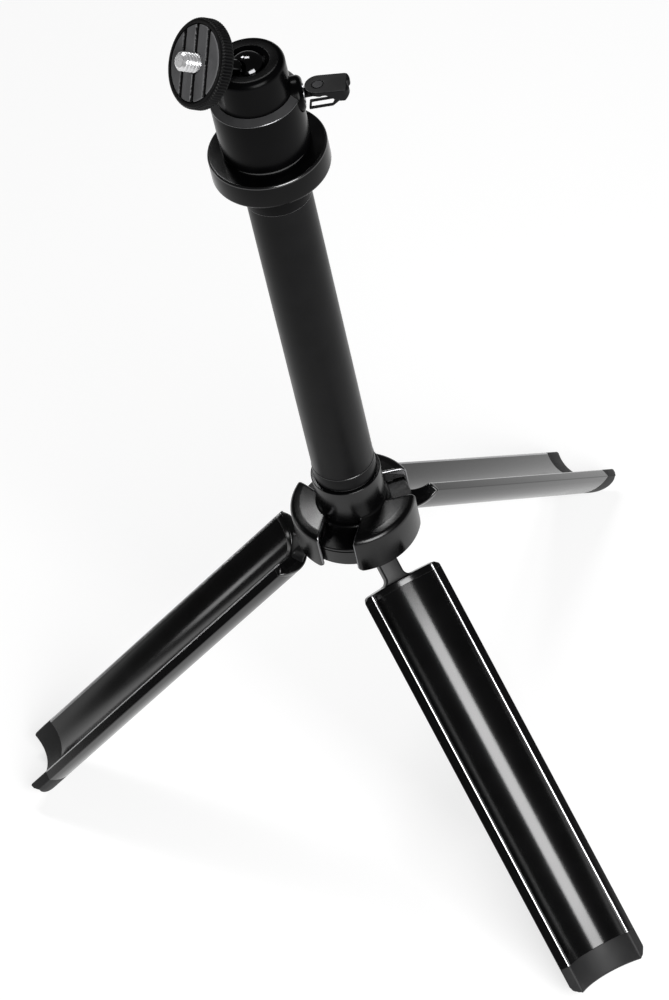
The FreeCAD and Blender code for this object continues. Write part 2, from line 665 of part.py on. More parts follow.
def head_cap():
    """Screwed collar that holds the ball, notched where the stem lies down."""
    socket_r = BALL_R + RUN_FIT
    lip_height = math.sqrt(socket_r ** 2 - CAP_LIP_R ** 2)
    cap = cylinder(CAP_R, CAP_BOTTOM, CAP_TOP)
    cap = rounded(cap, CAP_SHOULDER_R, circle_at(CAP_R, CAP_TOP))
    cap = cap.cut(cylinder(HEAD_NECK_R + THREAD_FIT, CAP_BOTTOM - 1, CAP_BOTTOM + HEAD_NECK_HEIGHT))
    cap = cap.cut(cylinder(HEAD_BORE_R, CAP_BOTTOM, BALL_CENTRE))
    cap = cap.cut(Part.makeSphere(socket_r, V(0, 0, BALL_CENTRE)))
    lip = turned([
        (0, BALL_CENTRE),
        (CAP_LIP_R, BALL_CENTRE + lip_height),
        (CAP_LIP_R + 1.4, CAP_TOP + 0.01),
        (0, CAP_TOP + 0.01),
    ])
    cap = cap.cut(lip)
    notch_half = STEM_R + STEM_NOTCH_GAP
    notch = Part.makeCylinder(notch_half, CAP_R + 2, V(0, 0, BALL_CENTRE), V(1, 0, 0))
    notch = notch.fuse(box((0, -notch_half, BALL_CENTRE), (CAP_R + 2, notch_half, CAP_TOP + 1)))
    return raised(cap.cut(at_azimuth(notch, BALL_AZIMUTH)).removeSplitter())


def ball_seat():
    """Plastic cup under the ball, lifted by the wedge when the clamp is tightened."""
    seat = cylinder(HEAD_BORE_R - RUN_FIT, SEAT_BOTTOM, BALL_CENTRE - SEAT_RIM_DROP)
    return raised(seat.cut(Part.makeSphere(BALL_R + 0.05, V(0, 0, BALL_CENTRE))))


def seat_wedge():
    """Steel plug under the seat, with the cone that the clamp bolt's tip drives against."""
    wedge = cylinder(WEDGE_R, HEAD_FLOOR_TOP + 0.2, SEAT_BOTTOM)
    tip = Part.makeCone(0.0, CLAMP_BOLT_TIP, CLAMP_BOLT_TIP, V(1.2, 0, 0), V(1, 0, 0))
    tip = tip.translated(V(0.4, 0, 0))
    channel = radial_cylinder(CLAMP_BOLT_R + 0.4, 4.0, WEDGE_R + 1)
    cut = at_azimuth(tip.fuse(channel), CLAMP_AZIMUTH).translated(V(0, 0, CLAMP_HEIGHT))
    return raised(wedge.cut(cut).removeSplitter())


def bolt_bushing():
    """Flanged bush in the boss that guides the clamp bolt."""
    bush = radial_cylinder(BUSHING_R, HEAD_NECK_R + 1.5 + 0.01, CLAMP_BOSS_FACE + BUSHING_PROUD)
    bush = bush.cut(radial_cylinder(CLAMP_BOLT_R + RUN_FIT, 0, CLAMP_BOSS_FACE + 2))
    return along_clamp(bush)


def clamp_bolt():
    """Eye bolt: its cone tip drives the wedge, its eye carries the lever."""
    tip_end = 4.2
    tip_start = tip_end - CLAMP_BOLT_R
    bolt = radial_cylinder(CLAMP_BOLT_R, tip_end, LEVER_PIN_REACH - EYE_R * 0.6)
    bolt = bolt.fuse(Part.makeCone(0.3, CLAMP_BOLT_R, tip_end - tip_start, V(tip_start, 0, 0), V(1, 0, 0)))
    eye = Part.makeCylinder(EYE_R, EYE_HEIGHT, V(LEVER_PIN_REACH, 0, -EYE_HEIGHT / 2))
    neck = box(
        (LEVER_PIN_REACH - EYE_R - 0.6, -CLAMP_BOLT_R * 0.8, -EYE_HEIGHT / 2),
        (LEVER_PIN_REACH, CLAMP_BOLT_R * 0.8, EYE_HEIGHT / 2),
    )
    flat_start = LEVER_PIN_REACH - LEVER_WIDTH / 2 - 0.35
    shank_room = box((flat_start, -3, EYE_HEIGHT / 2), (LEVER_PIN_REACH, 3, 4))
    bolt = bolt.cut([shank_room, shank_room.translated(V(0, 0, -4 - EYE_HEIGHT / 2))])
    bolt = bolt.fuse([eye, neck])
    pin_hole = Part.makeCylinder(LEVER_PIN_R + RUN_FIT, 6, V(LEVER_PIN_REACH, 0, -3))
    return along_clamp(bolt.cut(pin_hole).removeSplitter())


def lever_side():
    """The lever seen from the side, as (along, up) points from its pin."""
    back = LEVER_WIDTH / 2
    grip_low = LEVER_TOP - LEVER_GRIP
    return [
        (-back, LEVER_TOP),
        (LEVER_LENGTH - 0.8, LEVER_TOP),
        (LEVER_LENGTH, LEVER_TOP - 0.9),
        (LEVER_LENGTH, grip_low + 0.6),
        (LEVER_LENGTH - 1.6, grip_low - 1.1),
        (4.0, -LEVER_LOW + STRAP_RISE),
        (-back, -LEVER_LOW),
    ]


def clamp_lever():
    """Thumb lever: a solid wing on the pin and a thin strap with a window below it."""
    half = LEVER_WIDTH / 2
    wing_low = LEVER_TOP - LEVER_CHEEK
    grip_low = LEVER_TOP - LEVER_GRIP
    strap_top = -LEVER_LOW + STRAP_THICKNESS
    body = extruded(lever_side(), "y", -half, LEVER_WIDTH)
    plan = cylinder(half, -7, 6).fuse(box((0, -half, -7), (LEVER_LENGTH, half, 6)))
    plan = rounded(plan.removeSplitter(), 2.0, lambda edge: upright_at_x(edge, LEVER_LENGTH))
    notch = Part.makeCylinder(
        LEVER_NOTCH_R, 14, V(LEVER_LENGTH + LEVER_NOTCH_R - LEVER_NOTCH_DEPTH, 0, -7)
    )
    body = body.common(plan.cut(notch))
    wing_zone = extruded([
        (-half - 1, LEVER_TOP + 1),
        (LEVER_LENGTH + 1, LEVER_TOP + 1),
        (LEVER_LENGTH + 1, grip_low - 1.1),
        (7.0, grip_low - 1.1),
        (5.0, grip_low),
        (-half - 1, grip_low),
    ], "y", -half - 1, LEVER_WIDTH + 2)
    strap_zone = box((-STRAP_END, -STRAP_WIDTH / 2, -7), (LEVER_LENGTH, STRAP_WIDTH / 2, 6))
    body = body.common(wing_zone.fuse(strap_zone))
    fork = extruded([
        (-half - 1, wing_low),
        (EYE_R + 0.4, wing_low),
        (5.0, grip_low),
        (6.0, grip_low - 1.2),
        (3.8, strap_top + STRAP_RISE),
        (-half - 1, strap_top),
    ], "y", -half - 1, LEVER_WIDTH + 2)
    body = body.cut(fork)
    window_half = STRAP_WIDTH / 2 - STRAP_BAR
    window_low = (-STRAP_END + STRAP_BAR, -window_half, -7)
    window = box(window_low, (STRAP_WINDOW_END, window_half, grip_low - 1.2))
    body = body.cut(window)
    body = body.cut(Part.makeCylinder(LEVER_PIN_R + PRESS_FIT, 12, V(0, 0, wing_low - 1)))
    recess = Part.makeCylinder(LEVER_PIN_R + 0.9, 0.5, V(0, 0, LEVER_TOP - 0.4))
    body = at_azimuth(body.cut(recess), LEVER_TURN)
    return along_clamp(body.translated(V(LEVER_PIN_REACH, 0, 0)).removeSplitter())


def upright_at_x(edge, x):
    ends = [v.Point for v in edge.Vertexes]
    if len(ends) != 2:
        return False
    upright = math.hypot(ends[0].x - ends[1].x, ends[0].y - ends[1].y) < 1e-6
    return upright and abs(ends[0].x - x) < 1e-6


def lever_pin():
    low = -EYE_HEIGHT / 2 - 0.3
    pin = Part.makeCylinder(LEVER_PIN_R, LEVER_TOP - 0.4 - low, V(LEVER_PIN_REACH, 0, low))
    head = Part.makeCylinder(LEVER_PIN_R + 0.7, 0.35, V(LEVER_PIN_REACH, 0, LEVER_TOP - 0.4))
    foot = Part.makeCylinder(LEVER_PIN_R + 0.4, 0.6, V(LEVER_PIN_REACH, 0, low - 0.6))
    return along_clamp(pin.fuse([head, foot]).removeSplitter())


# Ball, stem and camera plate: drawn along +Z from the ball's centre, then tilted

def on_stem(solid):
    tilt_axis = direction(BALL_AZIMUTH + 90)
    leaned = solid.copy().rotated(V(0, 0, 0), tilt_axis, BALL_TILT)
    return raised(leaned.translated(V(0, 0, BALL_CENTRE)))


PLATE_BACK = PLATE_REACH - PLATE_THICKNESS


def ball_and_stem():
    stem = cylinder(STEM_R, 0, STEM_COLLAR_START + 1)
    collar = turned([
        (0, STEM_COLLAR_START),
        (STEM_COLLAR_R - 0.8, STEM_COLLAR_START),
        (STEM_COLLAR_R, STEM_COLLAR_START + 0.8),
        (STEM_COLLAR_R, PLATE_BACK - 0.1),
        (0, PLATE_BACK - 0.1),
    ])
    piece = Part.makeSphere(BALL_R).fuse([stem, collar])
    socket = cylinder(SCREW_NECK_R + PRESS_FIT, PLATE_BACK - SCREW_ROOT, PLATE_BACK + 1)
    return on_stem(piece.cut(socket).removeSplitter())


def camera_screw():
    """Plain shank of the quarter-inch camera screw, at its crest diameter."""
    tip = PLATE_REACH + SCREW_PROUD
    screw = cylinder(SCREW_R, PLATE_REACH + PAD_PROUD, tip)
    end = [edge for edge in screw.Edges if circle_at(SCREW_R, tip)(edge)]
    neck = cylinder(SCREW_NECK_R, PLATE_BACK - SCREW_ROOT, PLATE_REACH + PAD_PROUD)
    return on_stem(screw.makeChamfer(SCREW_CHAMFER, end).fuse(neck).removeSplitter())


def camera_plate():
    """Knurled disc with a recess for the pad."""
    points = []
    for k in range(KNURLS):
        for part, radius in ((0.0, PLATE_R - KNURL_DEPTH), (0.3, PLATE_R), (0.7, PLATE_R)):
            angle = 2 * math.pi * (k + part) / KNURLS
            points.append((radius * math.cos(angle), radius * math.sin(angle)))
    disc = extruded(points, "z", PLATE_BACK, PLATE_THICKNESS)
    bevel = turned([
        (0, PLATE_BACK),
        (PLATE_R - PLATE_CHAMFER, PLATE_BACK),
        (PLATE_R + 0.1, PLATE_BACK + PLATE_CHAMFER + 0.1),
        (PLATE_R + 0.1, PLATE_REACH - 1.0),
        (PLATE_FACE_R, PLATE_REACH),
        (0, PLATE_REACH),
    ])
    disc = disc.common(bevel)
    disc = disc.cut(cylinder(PAD_R + 0.15, PLATE_REACH - PAD_THICKNESS + PAD_PROUD, PLATE_REACH + 1))
    return on_stem(disc.cut(cylinder(SCREW_R + RUN_FIT, 0, PLATE_REACH + 1)))


def plate_pad():
    """Ribbed rubber pad under the camera."""
    top = PLATE_REACH + PAD_PROUD
    pad = cylinder(PAD_R, top - PAD_THICKNESS, top)
    for k in (-1, 0, 1):
        middle = k * PAD_GROOVE_PITCH
        groove = box(
            (middle - PAD_GROOVE_WIDTH / 2, -PAD_R, top - PAD_GROOVE_DEPTH),
            (middle + PAD_GROOVE_WIDTH / 2, PAD_R, top + 1),
        )
        pad = pad.cut(at_azimuth(groove, BALL_AZIMUTH + PAD_TURN))
    return on_stem(pad.cut(cylinder(SCREW_R + 0.3, 0, top + 1)))


def build():
    pieces = {
        "hub_base": hub_base(),
        "hub_bolt": hub_bolt(),
        "hub_bolt_washer": hub_bolt_washer(),
        "lock_ring_washer": lock_ring_washer(),
        "leg_lock_ring": leg_lock_ring(),
        "column_foot_ring": column_foot_ring(),
        "column_tube": column_tube(),
        "column_foot_plug": column_foot_plug(),
        "top_collar": top_collar(),
        "head_platform": head_platform(),
        "head_stud": head_stud(),
        "pan_washer": pan_washer(),
        "head_housing": head_housing(),
        "head_cap": head_cap(),
        "ball_seat": ball_seat(),
        "seat_wedge": seat_wedge(),
        "bolt_bushing": bolt_bushing(),
        "clamp_bolt": clamp_bolt(),
        "clamp_lever": clamp_lever(),
        "lever_pin": lever_pin(),
        "ball_and_stem": ball_and_stem(),
        "camera_screw": camera_screw(),
        "camera_plate": camera_plate(),
        "plate_pad": plate_pad(),
    }
    ground_cut = box((-400, -400, -20), (400, 400, 0))
    for side, azimuth in LEG_AZIMUTHS.items():
        pieces["leg_shell_" + side] = set_leg(leg_shell(), azimuth)
        pieces["foot_cap_" + side] = set_leg(foot_cap(), azimuth).cut(ground_cut)
        pieces["leg_bracket_" + side] = set_leg(leg_bracket(), azimuth)
        pieces["hinge_pin_" + side] = hinge_pin(azimuth)
    return pieces


os.makedirs("parts", exist_ok=True)
for name, shape in build().items():
    solids = shape.Solids
    print(name, "solids", len(solids), "valid", shape.isValid(), "volume", round(shape.Volume, 2))
    result = solids[0] if len(solids) == 1 else Part.makeCompound(solids)
    result.exportStep("parts/" + name + ".step")
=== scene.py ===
"""Looks of a tabletop tripod with gutter legs, a twist-lock hub, a column and a small ball head.

Lengths are in millimetres until they reach a mesh, where they become metres. Heights of the hub,
column and head are counted from the hub's level, HUB above the ground.
"""
import json
import math

import bmesh
import bpy
from mathutils import Matrix, Vector


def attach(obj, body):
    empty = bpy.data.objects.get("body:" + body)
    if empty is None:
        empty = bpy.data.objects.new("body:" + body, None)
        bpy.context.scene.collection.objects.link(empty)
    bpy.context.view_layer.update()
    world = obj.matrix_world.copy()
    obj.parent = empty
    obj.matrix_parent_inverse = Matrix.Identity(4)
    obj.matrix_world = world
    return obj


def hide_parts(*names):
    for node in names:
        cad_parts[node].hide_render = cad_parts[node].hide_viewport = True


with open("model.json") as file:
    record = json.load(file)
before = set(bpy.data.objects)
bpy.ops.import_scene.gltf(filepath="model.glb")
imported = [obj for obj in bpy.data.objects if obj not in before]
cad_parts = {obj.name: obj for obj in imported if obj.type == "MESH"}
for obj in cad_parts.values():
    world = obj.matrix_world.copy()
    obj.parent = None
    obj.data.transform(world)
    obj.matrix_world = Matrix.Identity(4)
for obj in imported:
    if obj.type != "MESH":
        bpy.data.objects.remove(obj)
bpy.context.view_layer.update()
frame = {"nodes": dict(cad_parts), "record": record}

MM = 0.001
HUB = 116.847

# Camera, as fitted to the photograph of 669 by 1000 pixels
CAMERA_ELEVATION = 46.8
CAMERA_ROLL = -13.8716
CAMERA_DISTANCE = 1543.0
CAMERA_FOCUS = 4401.457
CAMERA_AIM = (-6.235, 0.0, 19.60)
IMAGE_HEIGHT = 1000
SENSOR_WIDTH = 36.0

# Legs
LEG_TILT = 44.0
LEG_AZIMUTHS = {"front": -70.1, "right": 49.7, "left": 168.9}
LEG_LENGTH = 158.4
LEG_HALF = 15.4
LEG_DEPTH = 10.8
FLOOR_HEIGHT = -4.4
RIM_WIDTH = 3.9
RIM_SLOPE = 30.0
RIM_OUTER_EDGE_R = 0.35
RIM_INNER_EDGE_R = 1.4
# Half width and least height of the strip along each rim's inner edge that gets a metallic finish, painting a
# bright highlight line there
HIGHLIGHT_EDGE_HALF = 0.62
HIGHLIGHT_EDGE_LOW = 0.7
ARC_MARGIN = 0.06
LEG_ROOT_R = 27.8
FOOT_LENGTH = 11.0
FOOT_HOLLOW = 0.8
FOOT_CORNER_R = 4.5
FOOT_EDGE_R = 0.9
SEAM_EDGE_R = 0.12
ROOT_BAND = 2.6
ROOT_BAND_RISE = 0.8
ROOT_CORNER_R = 2.2
ROOT_EDGE_R = 0.5
ARM_WIDTH = 7.2
ARM_TOP = -3.8
ARM_BOTTOM = -8.8
ARM_FLARE_R = 2.4
HINGE_ALONG = -15.326
HINGE_OUT = -4.931
KNUCKLE_R = 3.0
HEEL = (2.2, 7.35)

# Hub and lock ring
RING_R = 22.3
RING_INNER_R = 20.9
RING_BOTTOM = 4.4
RING_ROOM_TOP = 14.6
RING_NECK_R = 13.8
SKIRT_FOOT_HEIGHTS = (4.9, 5.3, 5.75, 6.2)
SLEEVE_R = 12.3
SLEEVE_BORE_R = 9.61
SLEEVE_BOTTOM = 18.5
SLEEVE_TOP = 33.8
RING_GAP_HALF = 6.25
RING_GAP_AZIMUTH = -117.0
RING_EDGE = 0.9
LOBE_CORNER_R = 1.8
# Where across the slots' rounded edges, and from what radius, the metallic strip lies that paints highlight
# lines there
HIGHLIGHT_SPAN = (0.03, 0.5)
HIGHLIGHT_FROM_R = 14.5

# Column and platform
FOOT_RING_R = 11.15
FOOT_RING_BORE_R = 9.45
FOOT_RING_BOTTOM = 34.2
TUBE_R = 11.0
TUBE_BORE_R = 9.4
TUBE_BOTTOM = 39.9
TUBE_TOP = 168.2
COLLAR_R = 11.6
COLLAR_TOP = 173.5
COLLAR_PLUG_R = 9.3
COLLAR_PLUG_BOTTOM = 153.2
PLATFORM_R = 19.75
PLATFORM_BOTTOM = 179.6
PLATFORM_TOP = 189.3

# Head
CUP_R = 14.8
CUP_BOTTOM = 190.0
CUP_SHOULDER = 211.2
CUP_ROOM_R = 6.9
CUP_FLOOR = 200.2
NECK_R = 10.5
NECK_TOP = 217.9
CAP_R = 12.15
CAP_BORE_R = 10.55
CAP_BOTTOM = 212.9
CAP_TOP = 226.5
NOTCH_HALF = 3.65
BALL_CENTRE = 222.0
BALL_R = 6.67
BALL_TILT = 51.5
BALL_AZIMUTH = 199.2
CLAMP_AZIMUTH = -5.0
CLAMP_HEIGHT = 208.7
BOSS_R = 6.2
BOSS_ROOT = 11.5
BOSS_REACH = 15.5
BOSS_EDGE_R = 2.2

# Camera plate
PLATE_REACH = 21.6
PLATE_THICKNESS = 4.6
PLATE_R = 14.6
PLATE_BORE_R = 3.24
PAD_SEAT_DEPTH = 1.25
KNURLS = 84
KNURL_DEPTH = 0.38
PAD_R = 12.3
PAD_BORE_R = 3.45
PAD_PROUD = 0.15
PAD_TURN = 122.0
GROOVES = (-6.2, 0.0, 6.2)
GROOVE_DEPTH = 0.95
GROOVE_FLAT_HALF = 0.6
GROOVE_HALF = 0.95
PAD_EDGE_WIDTH = 0.4
PAD_OUTER_DROP = 0.3
PAD_INNER_DROP = 0.25
PAD_BORE_EDGE_R = 3.8
PAD_RING_STEP = 0.17
SCREW_PROUD = 6.2
SCREW_R = 3.175
SCREW_PITCH = 1.27
THREAD_DEPTH = 0.62
THREAD_ROOT_SHARE = 0.12
THREAD_FLANK_SHARE = 0.70
THREAD_STEP = 0.06
SCREW_TIP_R = 2.3

# Floor
FLOOR_SIZE = 9.0
FLOOR_DROP = 0.2


# Outlines and meshes

def arc_points(centre, radius, start, end, steps):
    """Points on a circle from one angle to another, in degrees, both ends included."""
    points = []
    for k in range(steps + 1):
        angle = math.radians(start + (end - start) * k / steps)
        points.append((centre[0] + radius * math.cos(angle), centre[1] + radius * math.sin(angle)))
    return points


def rounded_line(corners, steps=5, closed=True):
    """Outline through corners given as (x, y) or (x, y, radius), with those corners rounded."""
    out = []
    count = len(corners)
    for k, corner in enumerate(corners):
        radius = corner[2] if len(corner) > 2 else 0.0
        here = Vector(corner[:2])
        if radius <= 0 or (not closed and k in (0, count - 1)):
            out.append(tuple(here))
            continue
        before = Vector(corners[k - 1][:2]) - here
        after = Vector(corners[(k + 1) % count][:2]) - here
        half = before.angle(after) / 2
        reach = min(radius / math.tan(half), before.length * 0.49, after.length * 0.49)
        radius = reach * math.tan(half)
        start = here + before.normalized() * reach
        end = here + after.normalized() * reach
        middle = here + (before.normalized() + after.normalized()).normalized() * (radius / math.sin(half))
        a = start - middle
        b = end - middle
        for i in range(steps + 1):
            t = i / steps
            span = a.angle(b)
            if span < 1e-6:
                out.append(tuple(start))
                break
            turn = a * (math.sin((1 - t) * span) / math.sin(span)) + b * (math.sin(t * span) / math.sin(span))
            out.append(tuple(middle + turn))
    return out


def made(name, bm, matrix=None, crease=32.0):
    """Object from a bmesh in millimetres, smooth except at edges sharper than the crease angle."""
    bmesh.ops.remove_doubles(bm, verts=bm.verts, dist=1e-5)
    bmesh.ops.recalc_face_normals(bm, faces=bm.faces)
    for face in bm.faces:
        face.smooth = True
    limit = math.radians(crease)
    for edge in bm.edges:
        edge.smooth = len(edge.link_faces) == 2 and edge.calc_face_angle(0.0) < limit
    mesh = bpy.data.meshes.new(name)
    bm.to_mesh(mesh)
    bm.free()
    full = Matrix.Scale(MM, 4) @ (matrix or Matrix.Translation((0, 0, HUB)))
    mesh.transform(full)
    obj = bpy.data.objects.new(name, mesh)
    bpy.context.scene.collection.objects.link(obj)
    return obj


def add_revolved(bm, loop, segments=144, matrix=None):
    """Turns a closed outline of (radius, height) points about Z; the matrix then moves the body."""
    rings = []
    for r, z in loop:
        if r < 1e-6:
            rings.append([bm.verts.new((0, 0, z))])
            continue
        ring = []
        for k in range(segments):
            angle = 2 * math.pi * k / segments
            ring.append(bm.verts.new((r * math.cos(angle), r * math.sin(angle), z)))
        rings.append(ring)
    for a, b in zip(rings, rings[1:] + rings[:1]):
        for k in range(segments):
            j = (k + 1) % segments
            corners = [a[k % len(a)], a[j % len(a)], b[j % len(b)], b[k % len(b)]]
            kept = []
            for v in corners:
                if v not in kept:
                    kept.append(v)
            if len(kept) > 2:
                bm.faces.new(kept)
    if matrix is not None:
        verts = [v for ring in rings for v in ring]
        bmesh.ops.transform(bm, matrix=matrix, verts=verts)


def close_rings(bm, rings, joined):
    """Side faces between neighbouring rings of the same size; joined ties the last ring to the first."""
    count = len(rings[0])
    faces = []
    followers = rings[1:] + rings[:1] if joined else rings[1:]
    for a, b in zip(rings, followers):
        for k in range(count):
            j = (k + 1) % count
            faces.append(bm.faces.new((a[k], a[j], b[j], b[k])))
    return faces


def add_skin(bm, sections):
    """Side faces over closed sections with the same number of 3-D points."""
    rings = [[bm.verts.new(p) for p in section] for section in sections]
    close_rings(bm, rings, joined=False)
    return rings


def add_loft(bm, sections):
    """Skin over closed sections, with flat ends."""
    rings = add_skin(bm, sections)
    for ring in (rings[0], rings[-1]):
        bm.faces.new(ring)


def inset_loop(loop, distance):
    """The loop of (x, y) points moved inwards; the loop runs counter-clockwise."""
    out = []
    for k, point in enumerate(loop):
        before = Vector(loop[k - 1])
        after = Vector(loop[(k + 1) % len(loop)])
        run = (after - before).normalized()
        out.append((point[0] - run.y * distance, point[1] + run.x * distance))
    return out


def quarter_round(radius, steps):
    """Stations of a rounded edge, as (distance from the end, inset), from the end inwards."""
    stations = []
    for i in range(steps + 1):
        swing = math.radians(90.0 * i / steps)
        stations.append((radius * (1 - math.cos(swing)), radius * (1 - math.sin(swing))))
    return stations


# Places of the sub-assemblies

def leg_place(azimuth):
    """Place of a leg: X along it from its root, Y across it, Z out of its hollow side."""
    a = math.radians(azimuth)
    tilt = math.radians(LEG_TILT)
    outward = Vector((math.cos(a), math.sin(a), 0))
    up = Vector((0, 0, 1))
    along = outward * math.cos(tilt) - up * math.sin(tilt)
    across = Vector((-math.sin(a), math.cos(a), 0))
    out = outward * math.sin(tilt) + up * math.cos(tilt)
    matrix = Matrix((along, across, out)).transposed().to_4x4()
    matrix.translation = outward * LEG_ROOT_R + up * HUB
    return matrix


def stem_place():
    """Place of the ball: its centre is the origin and Z runs along the stem."""
    lift = Matrix.Translation((0, 0, HUB + BALL_CENTRE))
    a = math.radians(BALL_AZIMUTH + 90)
    lean = Matrix.Rotation(math.radians(BALL_TILT), 4, Vector((math.cos(a), math.sin(a), 0)))
    return lift @ lean


# Materials

def finish_material(name, dark, light, rough, rough_span, grain, relief, **sockets):
    """Coated or plain surface: two close tones, a wandering roughness and a fine grain in relief.

    grain is the size of the fine texture in millimetres, relief its depth in millimetres.
    """
    material = bpy.data.materials.new(name)
    material.use_nodes = True
    nodes = material.node_tree.nodes
    links = material.node_tree.links
    shader = nodes["Principled BSDF"]
    place = nodes.new("ShaderNodeTexCoord")
    cloud = nodes.new("ShaderNodeTexNoise")
    cloud.inputs["Scale"].default_value = 110.0
    cloud.inputs["Detail"].default_value = 4.0
    links.new(place.outputs["Object"], cloud.inputs["Vector"])
    tones = nodes.new("ShaderNodeValToRGB")
    tones.color_ramp.elements[0].position = 0.3
    tones.color_ramp.elements[1].position = 0.7
    tones.color_ramp.elements[0].color = (*dark, 1)
    tones.color_ramp.elements[1].color = (*light, 1)
    links.new(cloud.outputs["Fac"], tones.inputs["Fac"])
    links.new(tones.outputs["Color"], shader.inputs["Base Color"])
    spread = nodes.new("ShaderNodeMapRange")
    spread.inputs["From Min"].default_value = 0.3
    spread.inputs["From Max"].default_value = 0.7
    spread.inputs["To Min"].default_value = rough - rough_span
    spread.inputs["To Max"].default_value = rough + rough_span
    links.new(cloud.outputs["Fac"], spread.inputs["Value"])
    links.new(spread.outputs["Result"], shader.inputs["Roughness"])
    fine = nodes.new("ShaderNodeTexNoise")
    fine.inputs["Scale"].default_value = 1000.0 / grain
    fine.inputs["Detail"].default_value = 3.0
    fine.inputs["Roughness"].default_value = 0.6
    links.new(place.outputs["Object"], fine.inputs["Vector"])
    bump = nodes.new("ShaderNodeBump")
    bump.inputs["Strength"].default_value = 1.0
    bump.inputs["Distance"].default_value = relief * MM
    links.new(fine.outputs["Fac"], bump.inputs["Height"])
    links.new(bump.outputs["Normal"], shader.inputs["Normal"])
    for socket, value in sockets.items():
        shader.inputs[socket.replace("_", " ")].default_value = value
    return material


def leg_lacquer():
    return finish_material(
        "Leg lacquer", (0.0015, 0.0015, 0.0016), (0.0025, 0.0025, 0.0027), 0.18, 0.01, 0.5, 0.0002,
        Specular_IOR_Level=0.55,
    )


def tube_satin():
    return finish_material(
        "Tube satin", (0.002, 0.002, 0.0022), (0.004, 0.004, 0.0043), 0.33, 0.03, 0.25, 0.0010,
        Specular_IOR_Level=0.10,
    )


def hub_moulding():
    return finish_material(
        "Hub moulding", (0.001, 0.001, 0.0011), (0.002, 0.002, 0.0022), 0.24, 0.03, 0.4, 0.0006,
        Specular_IOR_Level=0.38,
    )


def platform_gloss():
    return finish_material(
        "Platform gloss", (0.0008, 0.0008, 0.0009), (0.0016, 0.0016, 0.0018), 0.16, 0.02, 0.6, 0.0004,
        Specular_IOR_Level=0.10,
    )


def head_paint():
    return finish_material(
        "Head paint", (0.0008, 0.0008, 0.0009), (0.0016, 0.0016, 0.0018), 0.22, 0.03, 0.3, 0.0008,
        Specular_IOR_Level=0.055,
    )


def foot_rubber():
    return finish_material(
        "Foot rubber", (0.013, 0.013, 0.0135), (0.020, 0.020, 0.0205), 0.60, 0.06, 0.22, 0.006,
        Specular_IOR_Level=0.35,
    )


def bracket_moulding():
    return finish_material(
        "Bracket moulding", (0.006, 0.006, 0.0063), (0.010, 0.010, 0.0104), 0.34, 0.05, 0.3, 0.002,
        Specular_IOR_Level=0.2,
    )


def lever_paint():
    return finish_material(
        "Lever paint", (0.003, 0.003, 0.0032), (0.005, 0.005, 0.0053), 0.34, 0.05, 0.2, 0.003,
        Specular_IOR_Level=0.12,
    )


def plate_paint():
    return finish_material(
        "Plate paint", (0.003, 0.003, 0.0032), (0.005, 0.005, 0.0053), 0.36, 0.05, 0.2, 0.003,
        Specular_IOR_Level=0.08,
    )


def pad_rubber():
    return finish_material(
        "Pad rubber", (0.095, 0.095, 0.098), (0.130, 0.130, 0.134), 0.5, 0.05, 0.2, 0.004,
        Specular_IOR_Level=0.3,
    )


# Strongly reflecting finish for the upper edges of the foot ring and platform: it paints bright highlight
# lines along them
def edge_highlight_gloss():
    return finish_material(
        "Edge highlight gloss", (0.002, 0.002, 0.0022), (0.004, 0.004, 0.0043), 0.20, 0.02, 0.5, 0.0004,
        Specular_IOR_Level=1.0,
    )


# Metallic finish for the legs' rim edges: it paints bright highlight lines along them
def leg_highlight_edge():
    return finish_material(
        "Leg highlight edge", (0.30, 0.30, 0.305), (0.40, 0.40, 0.405), 0.26, 0.03, 0.5, 0.0004, Metallic=1.0,
    )


# Metallic finish for rounded edges of the hub, collar and cup: it paints bright highlight lines along them
def painted_highlight_edge():
    return finish_material(
        "Painted highlight edge", (0.16, 0.16, 0.165), (0.24, 0.24, 0.245), 0.30, 0.05, 0.5, 0.0006, Metallic=1.0,
    )


# Lighter grey for the cup's cone: painted sheen where the light catches that sloping face
def cone_painted_sheen():
    return finish_material(
        "Cone painted sheen", (0.030, 0.030, 0.031), (0.042, 0.042, 0.043), 0.36, 0.04, 0.3, 0.001,
        Specular_IOR_Level=0.3,
    )


# Far darker grey for the pad's grooves: painted shade in them
def groove_painted_shade():
    return finish_material(
        "Groove painted shade", (0.004, 0.004, 0.0042), (0.007, 0.007, 0.0073), 0.6, 0.05, 0.2, 0.004,
        Specular_IOR_Level=0.1,
    )


def dark_chrome():
    return finish_material(
        "Dark chrome", (0.05, 0.05, 0.052), (0.07, 0.07, 0.072), 0.08, 0.02, 0.8, 0.0004, Metallic=1.0,
    )


def bright_chrome():
    return finish_material(
        "Bright chrome", (0.76, 0.76, 0.77), (0.86, 0.86, 0.87), 0.28, 0.04, 0.5, 0.001, Metallic=0.75,
    )


def plain_steel():
    return finish_material(
        "Plain steel", (0.30, 0.30, 0.31), (0.40, 0.40, 0.41), 0.28, 0.06, 0.3, 0.002, Metallic=1.0,
    )


def blackened_steel():
    return finish_material(
        "Blackened steel", (0.02, 0.02, 0.021), (0.03, 0.03, 0.031), 0.30, 0.05, 0.3, 0.001, Metallic=1.0,
    )


def seat_plastic():
    return finish_material(
        "Bearing plastic", (0.05, 0.05, 0.05), (0.07, 0.07, 0.07), 0.5, 0.05, 0.3, 0.003,
    )


